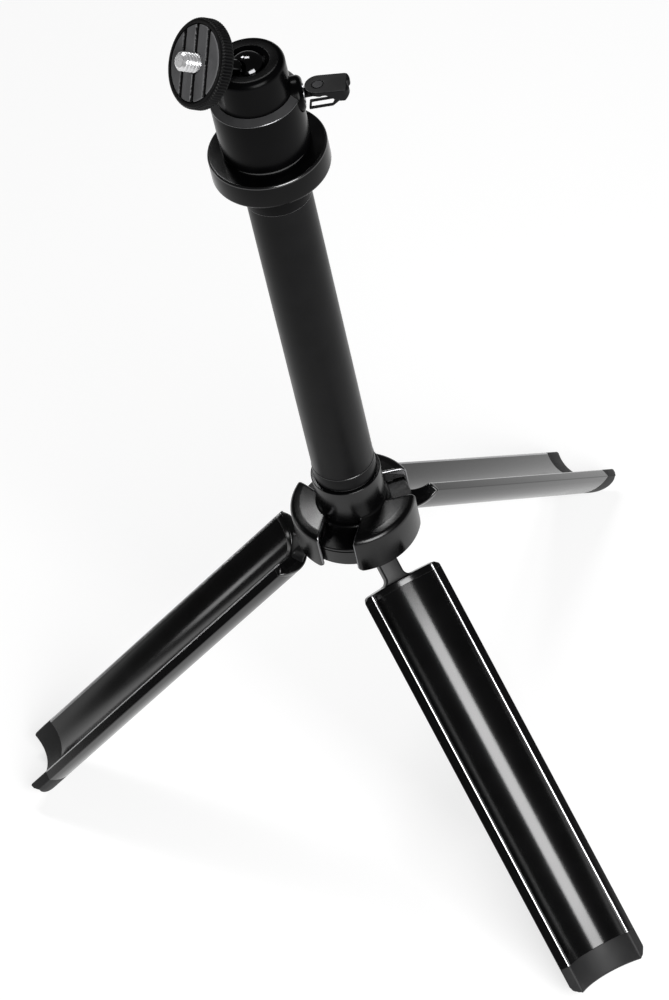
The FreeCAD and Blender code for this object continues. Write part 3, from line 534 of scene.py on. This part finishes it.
MATERIALS = {
    "leg_black": leg_lacquer(),
    "tube_black": tube_satin(),
    "hub_black": hub_moulding(),
    "head_black": head_paint(),
    "foot_rubber": foot_rubber(),
    "bracket_black": bracket_moulding(),
    "lever_grey": lever_paint(),
    "plate_grey": plate_paint(),
    "pad_rubber": pad_rubber(),
    "ball_chrome": dark_chrome(),
    "screw_chrome": bright_chrome(),
    "steel": plain_steel(),
    "seat_plastic": seat_plastic(),
}
PLATFORM_GLOSS = platform_gloss()
EDGE_HIGHLIGHT_GLOSS = edge_highlight_gloss()
LEG_HIGHLIGHT_EDGE = leg_highlight_edge()
PAINTED_HIGHLIGHT_EDGE = painted_highlight_edge()
CONE_PAINTED_SHEEN = cone_painted_sheen()
GROOVE_PAINTED_SHADE = groove_painted_shade()
BLACKENED_STEEL = blackened_steel()


def dressed(obj, body, slot, *nodes, material=None, trims=()):
    """Paints a piece, fastens it to its body and lets it stand for its CAD nodes.

    The trims are the materials of its marked faces.
    """
    obj.data.materials.append(material or MATERIALS[slot])
    for trim in trims:
        obj.data.materials.append(trim)
    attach(obj, body)
    if nodes:
        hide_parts(*nodes)


# Legs

def inner_edge_place():
    """How far from the middle of the leg a rim's inner edge lies."""
    return LEG_HALF - RIM_WIDTH * math.cos(math.radians(RIM_SLOPE))


def gutter_chains(rise=0.0, steps=56):
    """The leg's section as two chains of (across, out) points that share their ends on the rims.

    The first runs round the keel, the second over the floor; rise lifts the floor.
    """
    keel_centre = (LEG_HALF ** 2 - LEG_DEPTH ** 2) / (2 * LEG_DEPTH)
    inner_half = inner_edge_place()
    inner_rise = RIM_WIDTH * math.sin(math.radians(RIM_SLOPE))
    depth = inner_rise - FLOOR_HEIGHT - rise
    floor_r = (inner_half ** 2 + depth ** 2) / (2 * depth)
    floor_centre = FLOOR_HEIGHT + rise + floor_r
    middle = (LEG_HALF + inner_half) / 2
    rim = (middle, inner_rise / 2)
    places = [ARC_MARGIN + (1 - 2 * ARC_MARGIN) * k / steps for k in range(steps + 1)]
    chains = []
    for centre, radius, half, edge_r in (
        (keel_centre, keel_centre + LEG_DEPTH, LEG_HALF, RIM_OUTER_EDGE_R),
        (floor_centre, floor_r, inner_half, RIM_INNER_EDGE_R),
    ):
        swing = math.asin(half / radius)
        arc = []
        for t in places:
            angle = swing * (2 * t - 1)
            arc.append((radius * math.sin(angle), centre - radius * math.cos(angle)))
        corner_height = centre - radius * math.cos(swing)
        corners = [(-rim[0], rim[1]), (-half, corner_height, edge_r)]
        corners += arc + [(half, corner_height, edge_r), rim]
        chains.append(rounded_line(corners, steps=9, closed=False))
    return chains


def corner_step(across, corner_r):
    """How far an end with round corners falls back at this distance from the middle."""
    over = abs(across) - (LEG_HALF - corner_r)
    if over <= 0:
        return 0.0
    return corner_r - math.sqrt(max(corner_r ** 2 - over ** 2, 0.0))


def foot_end(across):
    """End line of a foot: hollowed in the middle, with round corners."""
    return LEG_LENGTH - FOOT_HOLLOW * (1 - (across / LEG_HALF) ** 2) - corner_step(across, FOOT_CORNER_R)


def root_end(across):
    """End line of a leg's root, with round corners."""
    return corner_step(across, ROOT_CORNER_R)


def gutter_piece(name, azimuth, near, near_r, far, far_r, rise=0.0):
    """Length of gutter between two end lines, given as functions of the place across it.

    near_r and far_r round the edges of its two ends.
    """
    keel, floor = gutter_chains(rise)
    loop = keel + floor[-2:0:-1]
    rows = [(near, 1, depth, inset) for depth, inset in quarter_round(near_r, 4)]
    rows += [(far, -1, depth, inset) for depth, inset in reversed(quarter_round(far_r, 6))]
    sections = []
    for end, way, depth, inset in rows:
        moved = inset_loop(loop, inset)
        sections.append([(end(was[0]) + way * depth, u, h) for (u, h), was in zip(moved, loop)])
    bm = bmesh.new()
    rings = add_skin(bm, sections)
    last = len(keel) - 1
    for ring in (rings[0], rings[-1]):
        low = ring[:last + 1]
        high = [ring[0]] + ring[:last:-1] + [ring[last]]
        for k in range(last):
            corners = []
            for v in (low[k], low[k + 1], high[k + 1], high[k]):
                if v not in corners:
                    corners.append(v)
            bm.faces.new(corners)
    # Faces along each rim's inner edge get the metallic trim, a painted highlight line
    edge_place = inner_edge_place()
    for face in bm.faces:
        middle = face.calc_center_median()
        apart = abs(abs(middle.y) - edge_place)
        face.material_index = int(apart < HIGHLIGHT_EDGE_HALF and middle.z > HIGHLIGHT_EDGE_LOW)
    return made(name, bm, leg_place(azimuth), crease=40.0)


def build_shell(side, azimuth, body, shell_end):
    shell = gutter_piece(
        "shell_" + side, azimuth, lambda u: ROOT_BAND, SEAM_EDGE_R, lambda u: shell_end, SEAM_EDGE_R,
    )
    dressed(shell, body, "leg_black", "leg_shell_" + side, trims=[LEG_HIGHLIGHT_EDGE])


def build_foot(side, azimuth, body, shell_end):
    foot = gutter_piece("foot_" + side, azimuth, lambda u: shell_end, SEAM_EDGE_R, foot_end, FOOT_EDGE_R)
    for vertex in foot.data.vertices:
        vertex.co.z = max(vertex.co.z, 0.0)
    dressed(foot, body, "foot_rubber", "foot_cap_" + side, trims=[MATERIALS["foot_rubber"]])


def build_root_band(side, azimuth, body):
    band = gutter_piece(
        "root_" + side, azimuth, root_end, ROOT_EDGE_R, lambda u: ROOT_BAND, SEAM_EDGE_R, ROOT_BAND_RISE,
    )
    dressed(band, body, "bracket_black", material=MATERIALS["leg_black"], trims=[LEG_HIGHLIGHT_EDGE])


def arm_bar(name, azimuth):
    """Bar from the hinge eye to the band, flared where it meets it, with the heel above the eye."""
    bm = bmesh.new()
    stations = [HINGE_ALONG + 1.0, HINGE_ALONG + 8.0, -ARM_FLARE_R]
    stations += [-ARM_FLARE_R + ARM_FLARE_R * k / 8 for k in range(1, 9)] + [ROOT_BAND / 2]
    sections = []
    for along in stations:
        reach = min(max(along + ARM_FLARE_R, 0.0), ARM_FLARE_R)
        flare = ARM_FLARE_R - math.sqrt(ARM_FLARE_R ** 2 - reach ** 2)
        half = ARM_WIDTH / 2 + flare
        outline = rounded_line([
            (-half, ARM_BOTTOM, 0.8), (half, ARM_BOTTOM, 0.8), (half, ARM_TOP, 0.7), (-half, ARM_TOP, 0.7),
        ])
        sections.append([(along, u, h) for u, h in outline])
    add_loft(bm, sections)
    half = ARM_WIDTH / 2
    eye = arc_points((HINGE_ALONG, HINGE_OUT), KNUCKLE_R, 0, 352.5, 47)
    add_loft(bm, [[(x, u, h) for x, h in eye] for u in (-half, half)])
    tilt = math.radians(LEG_TILT)
    heel = []
    for reach, height in ((0, 0), (HEEL[0], 0), HEEL, (0, HEEL[1])):
        along = HINGE_ALONG + reach * math.cos(tilt) - height * math.sin(tilt)
        heel.append((along, HINGE_OUT + reach * math.sin(tilt) + height * math.cos(tilt)))
    heel = rounded_line([(x, h, 0.3) for x, h in heel], steps=3)
    add_loft(bm, [[(x, u, h) for x, h in heel] for u in (-half, half)])
    return made(name, bm, leg_place(azimuth))


def build_leg(side, azimuth):
    body = "leg_" + side
    shell_end = LEG_LENGTH - FOOT_LENGTH
    build_shell(side, azimuth, body, shell_end)
    build_foot(side, azimuth, body, shell_end)
    build_root_band(side, azimuth, body)
    dressed(arm_bar("arm_" + side, azimuth), body, "bracket_black", "leg_bracket_" + side)


# Lock ring

def lobe_profile():
    """Closed section of a lobe as (radius, height) points, from the skirt's inner foot outwards."""
    outside = [(RING_R, z) for z in SKIRT_FOOT_HEIGHTS]
    inside = [(RING_INNER_R, z) for z in reversed(SKIRT_FOOT_HEIGHTS)]
    crown = [
        (RING_R, 18.9, 3.6),
        (18.6, 19.6, 2.5),
        (12.9, 20.1, 0.5),
        (SLEEVE_R - 0.2, 20.6),
    ]
    under = [
        (SLEEVE_R - 0.2, SLEEVE_BOTTOM),
        (RING_NECK_R, SLEEVE_BOTTOM),
        (RING_NECK_R, RING_ROOM_TOP),
        (RING_INNER_R, RING_ROOM_TOP),
    ]
    foot = [(RING_INNER_R, RING_BOTTOM), (RING_R, RING_BOTTOM, 0.35)]
    return rounded_line(foot + outside + crown + under + inside, steps=7)


def lobe_mesh(bm, middle):
    """One lobe: its section swept between two parallel-sided slots, with rounded ends.

    The ends fall back near the skirt's foot, so that its lower corners are round too.
    """
    profile = lobe_profile()
    count = len(profile)
    normals = []
    for k in range(count):
        run = Vector(profile[(k + 1) % count]) - Vector(profile[k - 1])
        normals.append(Vector((run.y, -run.x)).normalized())
    edge = quarter_round(RING_EDGE, 5)
    spokes = 34
    rows = [(1, depth, inset, 0.0) for depth, inset in edge]
    rows += [(1, RING_EDGE, 0.0, k / spokes) for k in range(1, spokes)]
    rows += [(-1, depth, inset, 0.0) for depth, inset in reversed(edge)]
    sections = []
    for way, depth, inset, share in rows:
        section = []
        for (r, z), normal in zip(profile, normals):
            point_r = r - normal.x * inset
            over = max(LOBE_CORNER_R - (z - RING_BOTTOM), 0.0)
            back = LOBE_CORNER_R - math.sqrt(LOBE_CORNER_R ** 2 - over ** 2)
            side = math.asin(min((RING_GAP_HALF + depth + back) / max(point_r, SLEEVE_R - 1.0), 1.0))
            low = side - math.pi / 3
            angle = math.radians(middle) + way * low * (1 - 2 * share)
            point_z = z - normal.y * inset
            section.append((point_r * math.cos(angle), point_r * math.sin(angle), point_z))
        sections.append(section)
    add_loft(bm, sections)


def mark_slot_edges(bm):
    """Gives the rounded edges along the slots the second material, a metallic strip that paints highlight
    lines there.
    """
    for face in bm.faces:
        middle = face.calc_center_median()
        reach = math.hypot(middle.x, middle.y)
        turn = math.degrees(math.atan2(middle.y, middle.x)) - RING_GAP_AZIMUTH
        off_slot = (turn + 60) % 120 - 60
        apart = reach * abs(math.sin(math.radians(off_slot))) - RING_GAP_HALF
        face.material_index = int(HIGHLIGHT_SPAN[0] < apart < HIGHLIGHT_SPAN[1] and reach > HIGHLIGHT_FROM_R)


def build_lock_ring():
    bm = bmesh.new()
    for turn in (60, 180, 300):
        lobe_mesh(bm, RING_GAP_AZIMUTH + turn)
    mark_slot_edges(bm)
    sleeve = rounded_line([
        (SLEEVE_BORE_R, SLEEVE_BOTTOM),
        (SLEEVE_R, SLEEVE_BOTTOM, 0.3),
        (SLEEVE_R, SLEEVE_TOP, 0.35),
        (SLEEVE_BORE_R, SLEEVE_TOP),
    ], steps=6)
    add_revolved(bm, sleeve)
    ring = made("lock_ring_lobes", bm, crease=28.0)
    dressed(ring, "lock_ring", "hub_black", "leg_lock_ring", trims=[PAINTED_HIGHLIGHT_EDGE])


# Column and platform

def mark_faces(bm, zones):
    """Gives faces of a turned piece their material by zones of (low, high, least radius)."""
    for face in bm.faces:
        middle = face.calc_center_median()
        radius = math.hypot(middle.x, middle.y)
        for k, (low, high, least) in enumerate(zones):
            if low < middle.z < high and radius > least:
                face.material_index = k + 1


def turned_piece(name, corners, body, slot, node, segments=144, steps=5, material=None, zones=(), trims=()):
    """Piece turned about the column from corners of (radius, height, rounding); zones get the trims."""
    bm = bmesh.new()
    add_revolved(bm, rounded_line(corners, steps=steps), segments)
    mark_faces(bm, zones)
    dressed(made(name, bm), body, slot, node, material=material, trims=trims)


def build_foot_ring():
    # The ring's upper edge gets the strongly reflecting trim, a painted highlight line
    upper_highlight_zone = (TUBE_BOTTOM - 0.3, TUBE_BOTTOM - 0.01, 10.9)
    turned_piece("foot_ring", [
        (FOOT_RING_BORE_R, FOOT_RING_BOTTOM),
        (FOOT_RING_R, FOOT_RING_BOTTOM, 0.35),
        (FOOT_RING_R, TUBE_BOTTOM, 0.3),
        (FOOT_RING_BORE_R, TUBE_BOTTOM),
    ], "stand", "tube_black", "column_foot_ring", zones=[upper_highlight_zone], trims=[EDGE_HIGHLIGHT_GLOSS])


def build_tube():
    turned_piece("tube", [
        (TUBE_BORE_R, TUBE_BOTTOM),
        (TUBE_R, TUBE_BOTTOM, 0.15),
        (TUBE_R, TUBE_TOP, 0.15),
        (TUBE_BORE_R, TUBE_TOP),
    ], "stand", "tube_black", "column_tube", segments=192)


def build_collar():
    # The collar's lower edge gets the metallic trim, a painted highlight line
    lower_highlight_zone = (TUBE_TOP + 0.01, TUBE_TOP + 0.4, 11.0)
    turned_piece("collar", [
        (0, COLLAR_PLUG_BOTTOM),
        (COLLAR_PLUG_R, COLLAR_PLUG_BOTTOM, 0.3),
        (COLLAR_PLUG_R, TUBE_TOP),
        (COLLAR_R, TUBE_TOP, 0.55),
        (COLLAR_R, COLLAR_TOP),
        (0, COLLAR_TOP),
    ], "stand", "head_black", "top_collar", zones=[lower_highlight_zone], trims=[PAINTED_HIGHLIGHT_EDGE])


def build_platform():
    # The platform's upper edge gets the strongly reflecting trim, a painted highlight line
    upper_highlight_zone = (PLATFORM_TOP - 0.9, PLATFORM_TOP - 0.01, 18.9)
    turned_piece("platform", [
        (0, COLLAR_TOP),
        (COLLAR_R, COLLAR_TOP),
        (12.2, 176.0, 2.0),
        (16.25, PLATFORM_BOTTOM),
        (PLATFORM_R, PLATFORM_BOTTOM, 1.6),
        (PLATFORM_R, PLATFORM_TOP, 0.8),
        (14.1, PLATFORM_TOP),
        (0, PLATFORM_TOP),
    ], "stand", "hub_black", "head_platform", steps=9, material=PLATFORM_GLOSS, zones=[upper_highlight_zone],
        trims=[EDGE_HIGHLIGHT_GLOSS])


# Ball head

def build_cup():
    """Cup of the head with its cone, and the boss of the clamp on one side."""
    bm = bmesh.new()
    cup = rounded_line([
        (0, CUP_BOTTOM),
        (13.8, CUP_BOTTOM, 0.3),
        (CUP_R, 191.0, 0.6),
        (CUP_R, CUP_SHOULDER, 0.35),
        (12.35, CAP_BOTTOM, 0.25),
        (NECK_R, CAP_BOTTOM),
        (NECK_R, NECK_TOP),
        (CUP_ROOM_R, NECK_TOP),
        (CUP_ROOM_R, CUP_FLOOR),
        (0, CUP_FLOOR),
    ], steps=5)
    add_revolved(bm, cup)
    # The cone gets the lighter grey, a painted sheen
    cone = (211.3, 212.75, 12.4)
    # The cone's lower edge gets the metallic trim, a painted highlight line
    cone_highlight_zone = (210.95, 211.3, 14.5)
    mark_faces(bm, [cone, cone_highlight_zone])
    boss = rounded_line([
        (0, BOSS_ROOT),
        (BOSS_R, BOSS_ROOT),
        (BOSS_R, BOSS_REACH, BOSS_EDGE_R),
        (0, BOSS_REACH),
    ], steps=9)
    aside = Matrix.Rotation(math.radians(90), 4, "Y")
    place = Matrix.Translation((0, 0, CLAMP_HEIGHT)) @ Matrix.Rotation(math.radians(CLAMP_AZIMUTH), 4, "Z")
    add_revolved(bm, boss, 96, place @ aside)
    dressed(made("head_cup", bm), "head", "head_black", "head_housing", trims=[CONE_PAINTED_SHEEN, PAINTED_HIGHLIGHT_EDGE])


def notch_cutter():
    """Bar with a round bottom that opens the cap where the stem lies down."""
    bm = bmesh.new()
    outline = arc_points((0, BALL_CENTRE), NOTCH_HALF, 180, 360, 24)
    outline += [(NOTCH_HALF, CAP_TOP + 3), (-NOTCH_HALF, CAP_TOP + 3)]
    add_loft(bm, [[(x, y, z) for y, z in outline] for x in (0.5, 14.0)])
    spin = Matrix.Translation((0, 0, HUB)) @ Matrix.Rotation(math.radians(BALL_AZIMUTH), 4, "Z")
    return made("cap_notch_cutter", bm, spin)


def cut_away(piece, cutter):
    """Takes the cutter out of the piece for good and removes the cutter."""
    modifier = piece.modifiers.new("Cut", "BOOLEAN")
    modifier.operation = "DIFFERENCE"
    modifier.solver = "EXACT"
    modifier.object = cutter
    depsgraph = bpy.context.evaluated_depsgraph_get()
    mesh = bpy.data.meshes.new_from_object(piece.evaluated_get(depsgraph))
    piece.modifiers.clear()
    piece.data = mesh
    bpy.data.objects.remove(cutter)


def build_cap():
    """Cap round the ball: a round socket inside, a soft shoulder outside, open at the notch."""
    bm = bmesh.new()
    socket_r = BALL_R + 0.06
    inside = arc_points((0, BALL_CENTRE), socket_r, 0, 28.8, 8)
    cap = [(CAP_BORE_R, CAP_BOTTOM), (CAP_R, CAP_BOTTOM), (CAP_R, 212.95)]
    cap += rounded_line([
        (CAP_R, 213.0), (CAP_R, CAP_TOP, 2.5), (7.3, CAP_TOP - 0.15, 0.5), (5.9, 225.24),
    ], steps=10, closed=False)
    cap += list(reversed(inside))
    cap += [(CUP_ROOM_R, NECK_TOP), (CAP_BORE_R, NECK_TOP)]
    add_revolved(bm, cap)
    piece = made("cap", bm)
    cut_away(piece, notch_cutter())
    dressed(piece, "head", "head_black", "head_cap")


def build_ball():
    """Ball and stem in one, with the flange under the camera plate."""
    bm = bmesh.new()
    ball = arc_points((0, 0), BALL_R, -90, 60.3, 40)
    ball[0] = (0.0, -BALL_R)
    stem = rounded_line([
        (3.3, ball[-1][1]), (3.3, 12.6, 0.4), (4.4, 12.6), (5.2, 13.4, 0.3), (5.2, 16.9), (0, 16.9),
    ], steps=4, closed=False)
    add_revolved(bm, ball + stem, 96)
    dressed(made("ball", bm, stem_place()), "ball", "ball_chrome", "ball_and_stem")


# Camera plate

def build_plate():
    """Disc with a rounded face edge and a rim of fine ribs that fade out at both edges."""
    back = PLATE_REACH - PLATE_THICKNESS
    seat = PLATE_REACH - PAD_SEAT_DEPTH
    corners = rounded_line([
        (PLATE_BORE_R, back),
        (14.1, back),
        (PLATE_R, back + 0.5, 0.3),
        (PLATE_R, PLATE_REACH - 0.9, 0.5),
        (13.9, PLATE_REACH, 0.4),
        (12.6, PLATE_REACH, 0.2),
        (12.45, seat),
        (PLATE_BORE_R, seat),
    ], steps=4)
    bm = bmesh.new()
    segments = KNURLS * 8
    rings = []
    for r, z in corners:
        ring = []
        ribbed = r > PLATE_R - 0.25 and back + 0.3 < z < PLATE_REACH - 0.75
        for k in range(segments):
            angle = 2 * math.pi * k / segments
            wave = 0.5 + 0.5 * math.cos(KNURLS * angle)
            radius = r - (KNURL_DEPTH * (1 - wave) ** 1.5 if ribbed else 0.0)
            ring.append(bm.verts.new((radius * math.cos(angle), radius * math.sin(angle), z)))
        rings.append(ring)
    close_rings(bm, rings, joined=True)
    dressed(made("plate", bm, stem_place(), crease=40.0), "plate", "plate_grey", "camera_plate")


def smooth_fall(distance, flat, reach):
    """One inside the flat distance, falling smoothly to nothing at the reach."""
    if distance <= flat:
        return 1.0
    if distance >= reach:
        return 0.0
    t = (reach - distance) / (reach - flat)
    return t * t * (3 - 2 * t)


def pad_depth(r, across):
    """How far the pad's face lies below its top at this radius and place across the grooves."""
    depth = 0.0
    for middle in GROOVES:
        share = smooth_fall(abs(across - middle), GROOVE_FLAT_HALF, GROOVE_HALF)
        depth = max(depth, GROOVE_DEPTH * share)
    outer = max(0.0, r - (PAD_R - PAD_EDGE_WIDTH)) / PAD_EDGE_WIDTH
    inner = max(0.0, PAD_BORE_EDGE_R - r) / PAD_EDGE_WIDTH
    return max(depth, PAD_OUTER_DROP * outer * outer, PAD_INNER_DROP * inner * inner)


def build_pad():
    """Ribbed pad, built as a height over a round grid with its grooves pressed in."""
    top = PLATE_REACH + PAD_PROUD
    bottom = PLATE_REACH - PAD_SEAT_DEPTH
    bm = bmesh.new()
    turn = math.radians(BALL_AZIMUTH + PAD_TURN)
    radii = [PAD_BORE_R, 3.6, PAD_BORE_EDGE_R]
    while radii[-1] < PAD_R - 0.35:
        radii.append(radii[-1] + PAD_RING_STEP)
    radii += [PAD_R - 0.15, PAD_R - 0.05, PAD_R]
    segments = 360
    rings = []
    for r in radii:
        ring = []
        for k in range(segments):
            angle = 2 * math.pi * k / segments
            x = r * math.cos(angle)
            y = r * math.sin(angle)
            across = x * math.cos(turn) + y * math.sin(turn)
            ring.append(bm.verts.new((x, y, top - pad_depth(r, across))))
        rings.append(ring)
    for r in (PAD_R, PAD_BORE_R):
        points = arc_points((0, 0), r, 0, 360 * (segments - 1) / segments, segments - 1)
        rings.append([bm.verts.new((x, y, bottom)) for x, y in points])
    # Faces deep in the grooves get the darker trim, painted shade
    for face in close_rings(bm, rings, joined=True):
        face.material_index = int(top - face.calc_center_median().z > 0.3)
    pad = made("pad", bm, stem_place(), crease=60.0)
    dressed(pad, "plate", "pad_rubber", "plate_pad", trims=[GROOVE_PAINTED_SHADE])


def build_screw():
    """Quarter-inch screw: a thread of triangular section that runs out at the chamfered tip."""
    low = PLATE_REACH - 0.6
    tip = PLATE_REACH + SCREW_PROUD
    segments = 64
    steps = int((tip - low) / THREAD_STEP)
    bm = bmesh.new()
    rings = []
    for i in range(steps + 1):
        z = low + (tip - low) * i / steps
        ring = []
        for k in range(segments):
            phase = (z / SCREW_PITCH - k / segments) % 1.0
            height = 1 - abs(2 * phase - 1)
            height = min(max((height - THREAD_ROOT_SHARE) / THREAD_FLANK_SHARE, 0.0), 1.0)
            r = SCREW_R - THREAD_DEPTH + THREAD_DEPTH * height
            r = min(r, SCREW_TIP_R + tip - z)
            angle = 2 * math.pi * k / segments
            ring.append(bm.verts.new((r * math.cos(angle), r * math.sin(angle), z)))
        rings.append(ring)
    inner = [bm.verts.new((v.co.x * 0.9, v.co.y * 0.9, tip)) for v in rings[-1]]
    close_rings(bm, rings + [inner], joined=False)
    bm.faces.new(inner)
    bm.faces.new(rings[0])
    neck = rounded_line([(0, low - 8.5), (3.0, low - 8.5), (3.0, low + 0.1), (0, low + 0.1)])
    add_revolved(bm, neck, 48)
    dressed(made("screw", bm, stem_place(), crease=50.0), "ball", "screw_chrome", "camera_screw")


# Clamp lever

def build_lever():
    """The CAD lever's own shape, remeshed and smoothed so that its edges are soft."""
    lever = frame["nodes"]["clamp_lever"]
    obj = bpy.data.objects.new("thumb_lever", lever.data.copy())
    bpy.context.scene.collection.objects.link(obj)
    obj.data.materials.clear()
    weld = obj.modifiers.new("Weld", "WELD")
    weld.merge_threshold = 0.002 * MM
    remesh = obj.modifiers.new("Remesh", "REMESH")
    remesh.mode = "VOXEL"
    remesh.voxel_size = 0.13 * MM
    remesh.use_smooth_shade = True
    smooth = obj.modifiers.new("Smooth", "SMOOTH")
    smooth.factor = 0.6
    smooth.iterations = 9
    depsgraph = bpy.context.evaluated_depsgraph_get()
    mesh = bpy.data.meshes.new_from_object(obj.evaluated_get(depsgraph))
    obj.modifiers.clear()
    obj.data = mesh
    for polygon in mesh.polygons:
        polygon.use_smooth = True
    dressed(obj, "lever", "lever_grey", "clamp_lever")


# Everything else keeps its CAD shape

def paint_other_nodes():
    """Gives each CAD node that still shows the material of its slot; the lever's pin is blackened."""
    slots = {row["node"]: row["material_slot"] for row in frame["record"]["subparts"]}
    for name, obj in frame["nodes"].items():
        if obj.hide_render:
            continue
        obj.data.materials.clear()
        obj.data.materials.append(MATERIALS[slots[name]])
    frame["nodes"]["lever_pin"].data.materials[0] = BLACKENED_STEEL


# Stage

def floor_material():
    """Matt floor that keeps shadows, with a glow that only the eye and clear or glossy things see."""
    material = bpy.data.materials.new("Floor")
    material.use_nodes = True
    nodes = material.node_tree.nodes
    links = material.node_tree.links
    shader = nodes["Principled BSDF"]
    shader.inputs["Base Color"].default_value = (0.35, 0.35, 0.35, 1)
    shader.inputs["Roughness"].default_value = 0.9
    shader.inputs["Specular IOR Level"].default_value = 0.0
    glow = nodes.new("ShaderNodeEmission")
    glow.inputs["Strength"].default_value = 0.73
    path = nodes.new("ShaderNodeLightPath")
    direct = nodes.new("ShaderNodeMath")
    direct.operation = "MAXIMUM"
    links.new(path.outputs["Is Camera Ray"], direct.inputs[0])
    links.new(path.outputs["Is Glossy Ray"], direct.inputs[1])
    seen = nodes.new("ShaderNodeMath")
    seen.operation = "MAXIMUM"
    links.new(direct.outputs[0], seen.inputs[0])
    links.new(path.outputs["Is Transmission Ray"], seen.inputs[1])
    lit = nodes.new("ShaderNodeAddShader")
    links.new(shader.outputs[0], lit.inputs[0])
    links.new(glow.outputs[0], lit.inputs[1])
    mix = nodes.new("ShaderNodeMixShader")
    links.new(seen.outputs[0], mix.inputs["Fac"])
    links.new(shader.outputs[0], mix.inputs[1])
    links.new(lit.outputs[0], mix.inputs[2])
    links.new(mix.outputs[0], nodes["Material Output"].inputs["Surface"])
    return material


def build_stage():
    """Square floor in metres, a little below the feet."""
    bpy.ops.mesh.primitive_plane_add(size=FLOOR_SIZE, location=(0, 0, -FLOOR_DROP * MM))
    floor = bpy.context.object
    floor.name = "floor"
    floor.data.materials.append(floor_material())


def softbox(name, azimuth, elevation, distance, width, height, strength, aim=(0, 0, 0.2)):
    """Area lamp in metres that looks at the aim from this direction; its face has this strength."""
    data = bpy.data.lights.new(name, "AREA")
    data.shape = "RECTANGLE"
    data.size = width
    data.size_y = height
    data.energy = strength * width * height * math.pi
    lamp = bpy.data.objects.new(name, data)
    bpy.context.scene.collection.objects.link(lamp)
    a = math.radians(azimuth)
    e = math.radians(elevation)
    back = Vector((math.cos(a) * math.cos(e), math.sin(a) * math.cos(e), math.sin(e)))
    lamp.location = Vector(aim) + back * distance
    lamp.rotation_mode = "QUATERNION"
    lamp.rotation_quaternion = back.to_track_quat("Z", "Y")


def build_light():
    world = bpy.data.worlds.new("Studio")
    bpy.context.scene.world = world
    world.use_nodes = True
    background = world.node_tree.nodes["Background"]
    background.inputs["Color"].default_value = (1, 1, 1, 1)
    background.inputs["Strength"].default_value = 0.05
    softbox("Key", -71.5, 39.5, 0.95, 0.52, 0.56, 12.6, (0.03, -0.08, 0.06))
    softbox("Top", 80, 61, 1.1, 0.32, 0.22, 14.0)
    softbox("Back left", 105, 50, 1.1, 0.16, 0.18, 22.0)
    softbox("Left", 154, 5, 1.1, 0.18, 0.16, 4.0)


def build_camera():
    data = bpy.data.cameras.new("Camera")
    camera = bpy.data.objects.new("Camera", data)
    bpy.context.scene.collection.objects.link(camera)
    e = math.radians(CAMERA_ELEVATION)
    roll = math.radians(CAMERA_ROLL)
    back = Vector((0, -math.cos(e), math.sin(e)))
    level = Vector((1, 0, 0))
    rise = back.cross(level)
    right = level * math.cos(roll) + rise * math.sin(roll)
    up = rise * math.cos(roll) - level * math.sin(roll)
    aim = Vector(CAMERA_AIM) + Vector((0, 0, HUB))
    matrix = Matrix((right, up, back)).transposed().to_4x4()
    matrix.translation = (aim + back * CAMERA_DISTANCE) * MM
    camera.matrix_world = matrix
    data.sensor_width = SENSOR_WIDTH
    data.sensor_fit = "AUTO"
    data.lens = SENSOR_WIDTH * CAMERA_FOCUS / IMAGE_HEIGHT
    data.clip_start = 0.05
    data.clip_end = 20.0
    bpy.context.scene.camera = camera


for side, azimuth in LEG_AZIMUTHS.items():
    build_leg(side, azimuth)
build_lock_ring()
build_foot_ring()
build_tube()
build_collar()
build_platform()
build_cup()
build_cap()
build_ball()
build_plate()
build_pad()
build_screw()
build_lever()
paint_other_nodes()
build_stage()
build_light()
build_camera()
bpy.context.scene.view_settings.view_transform = "Standard"
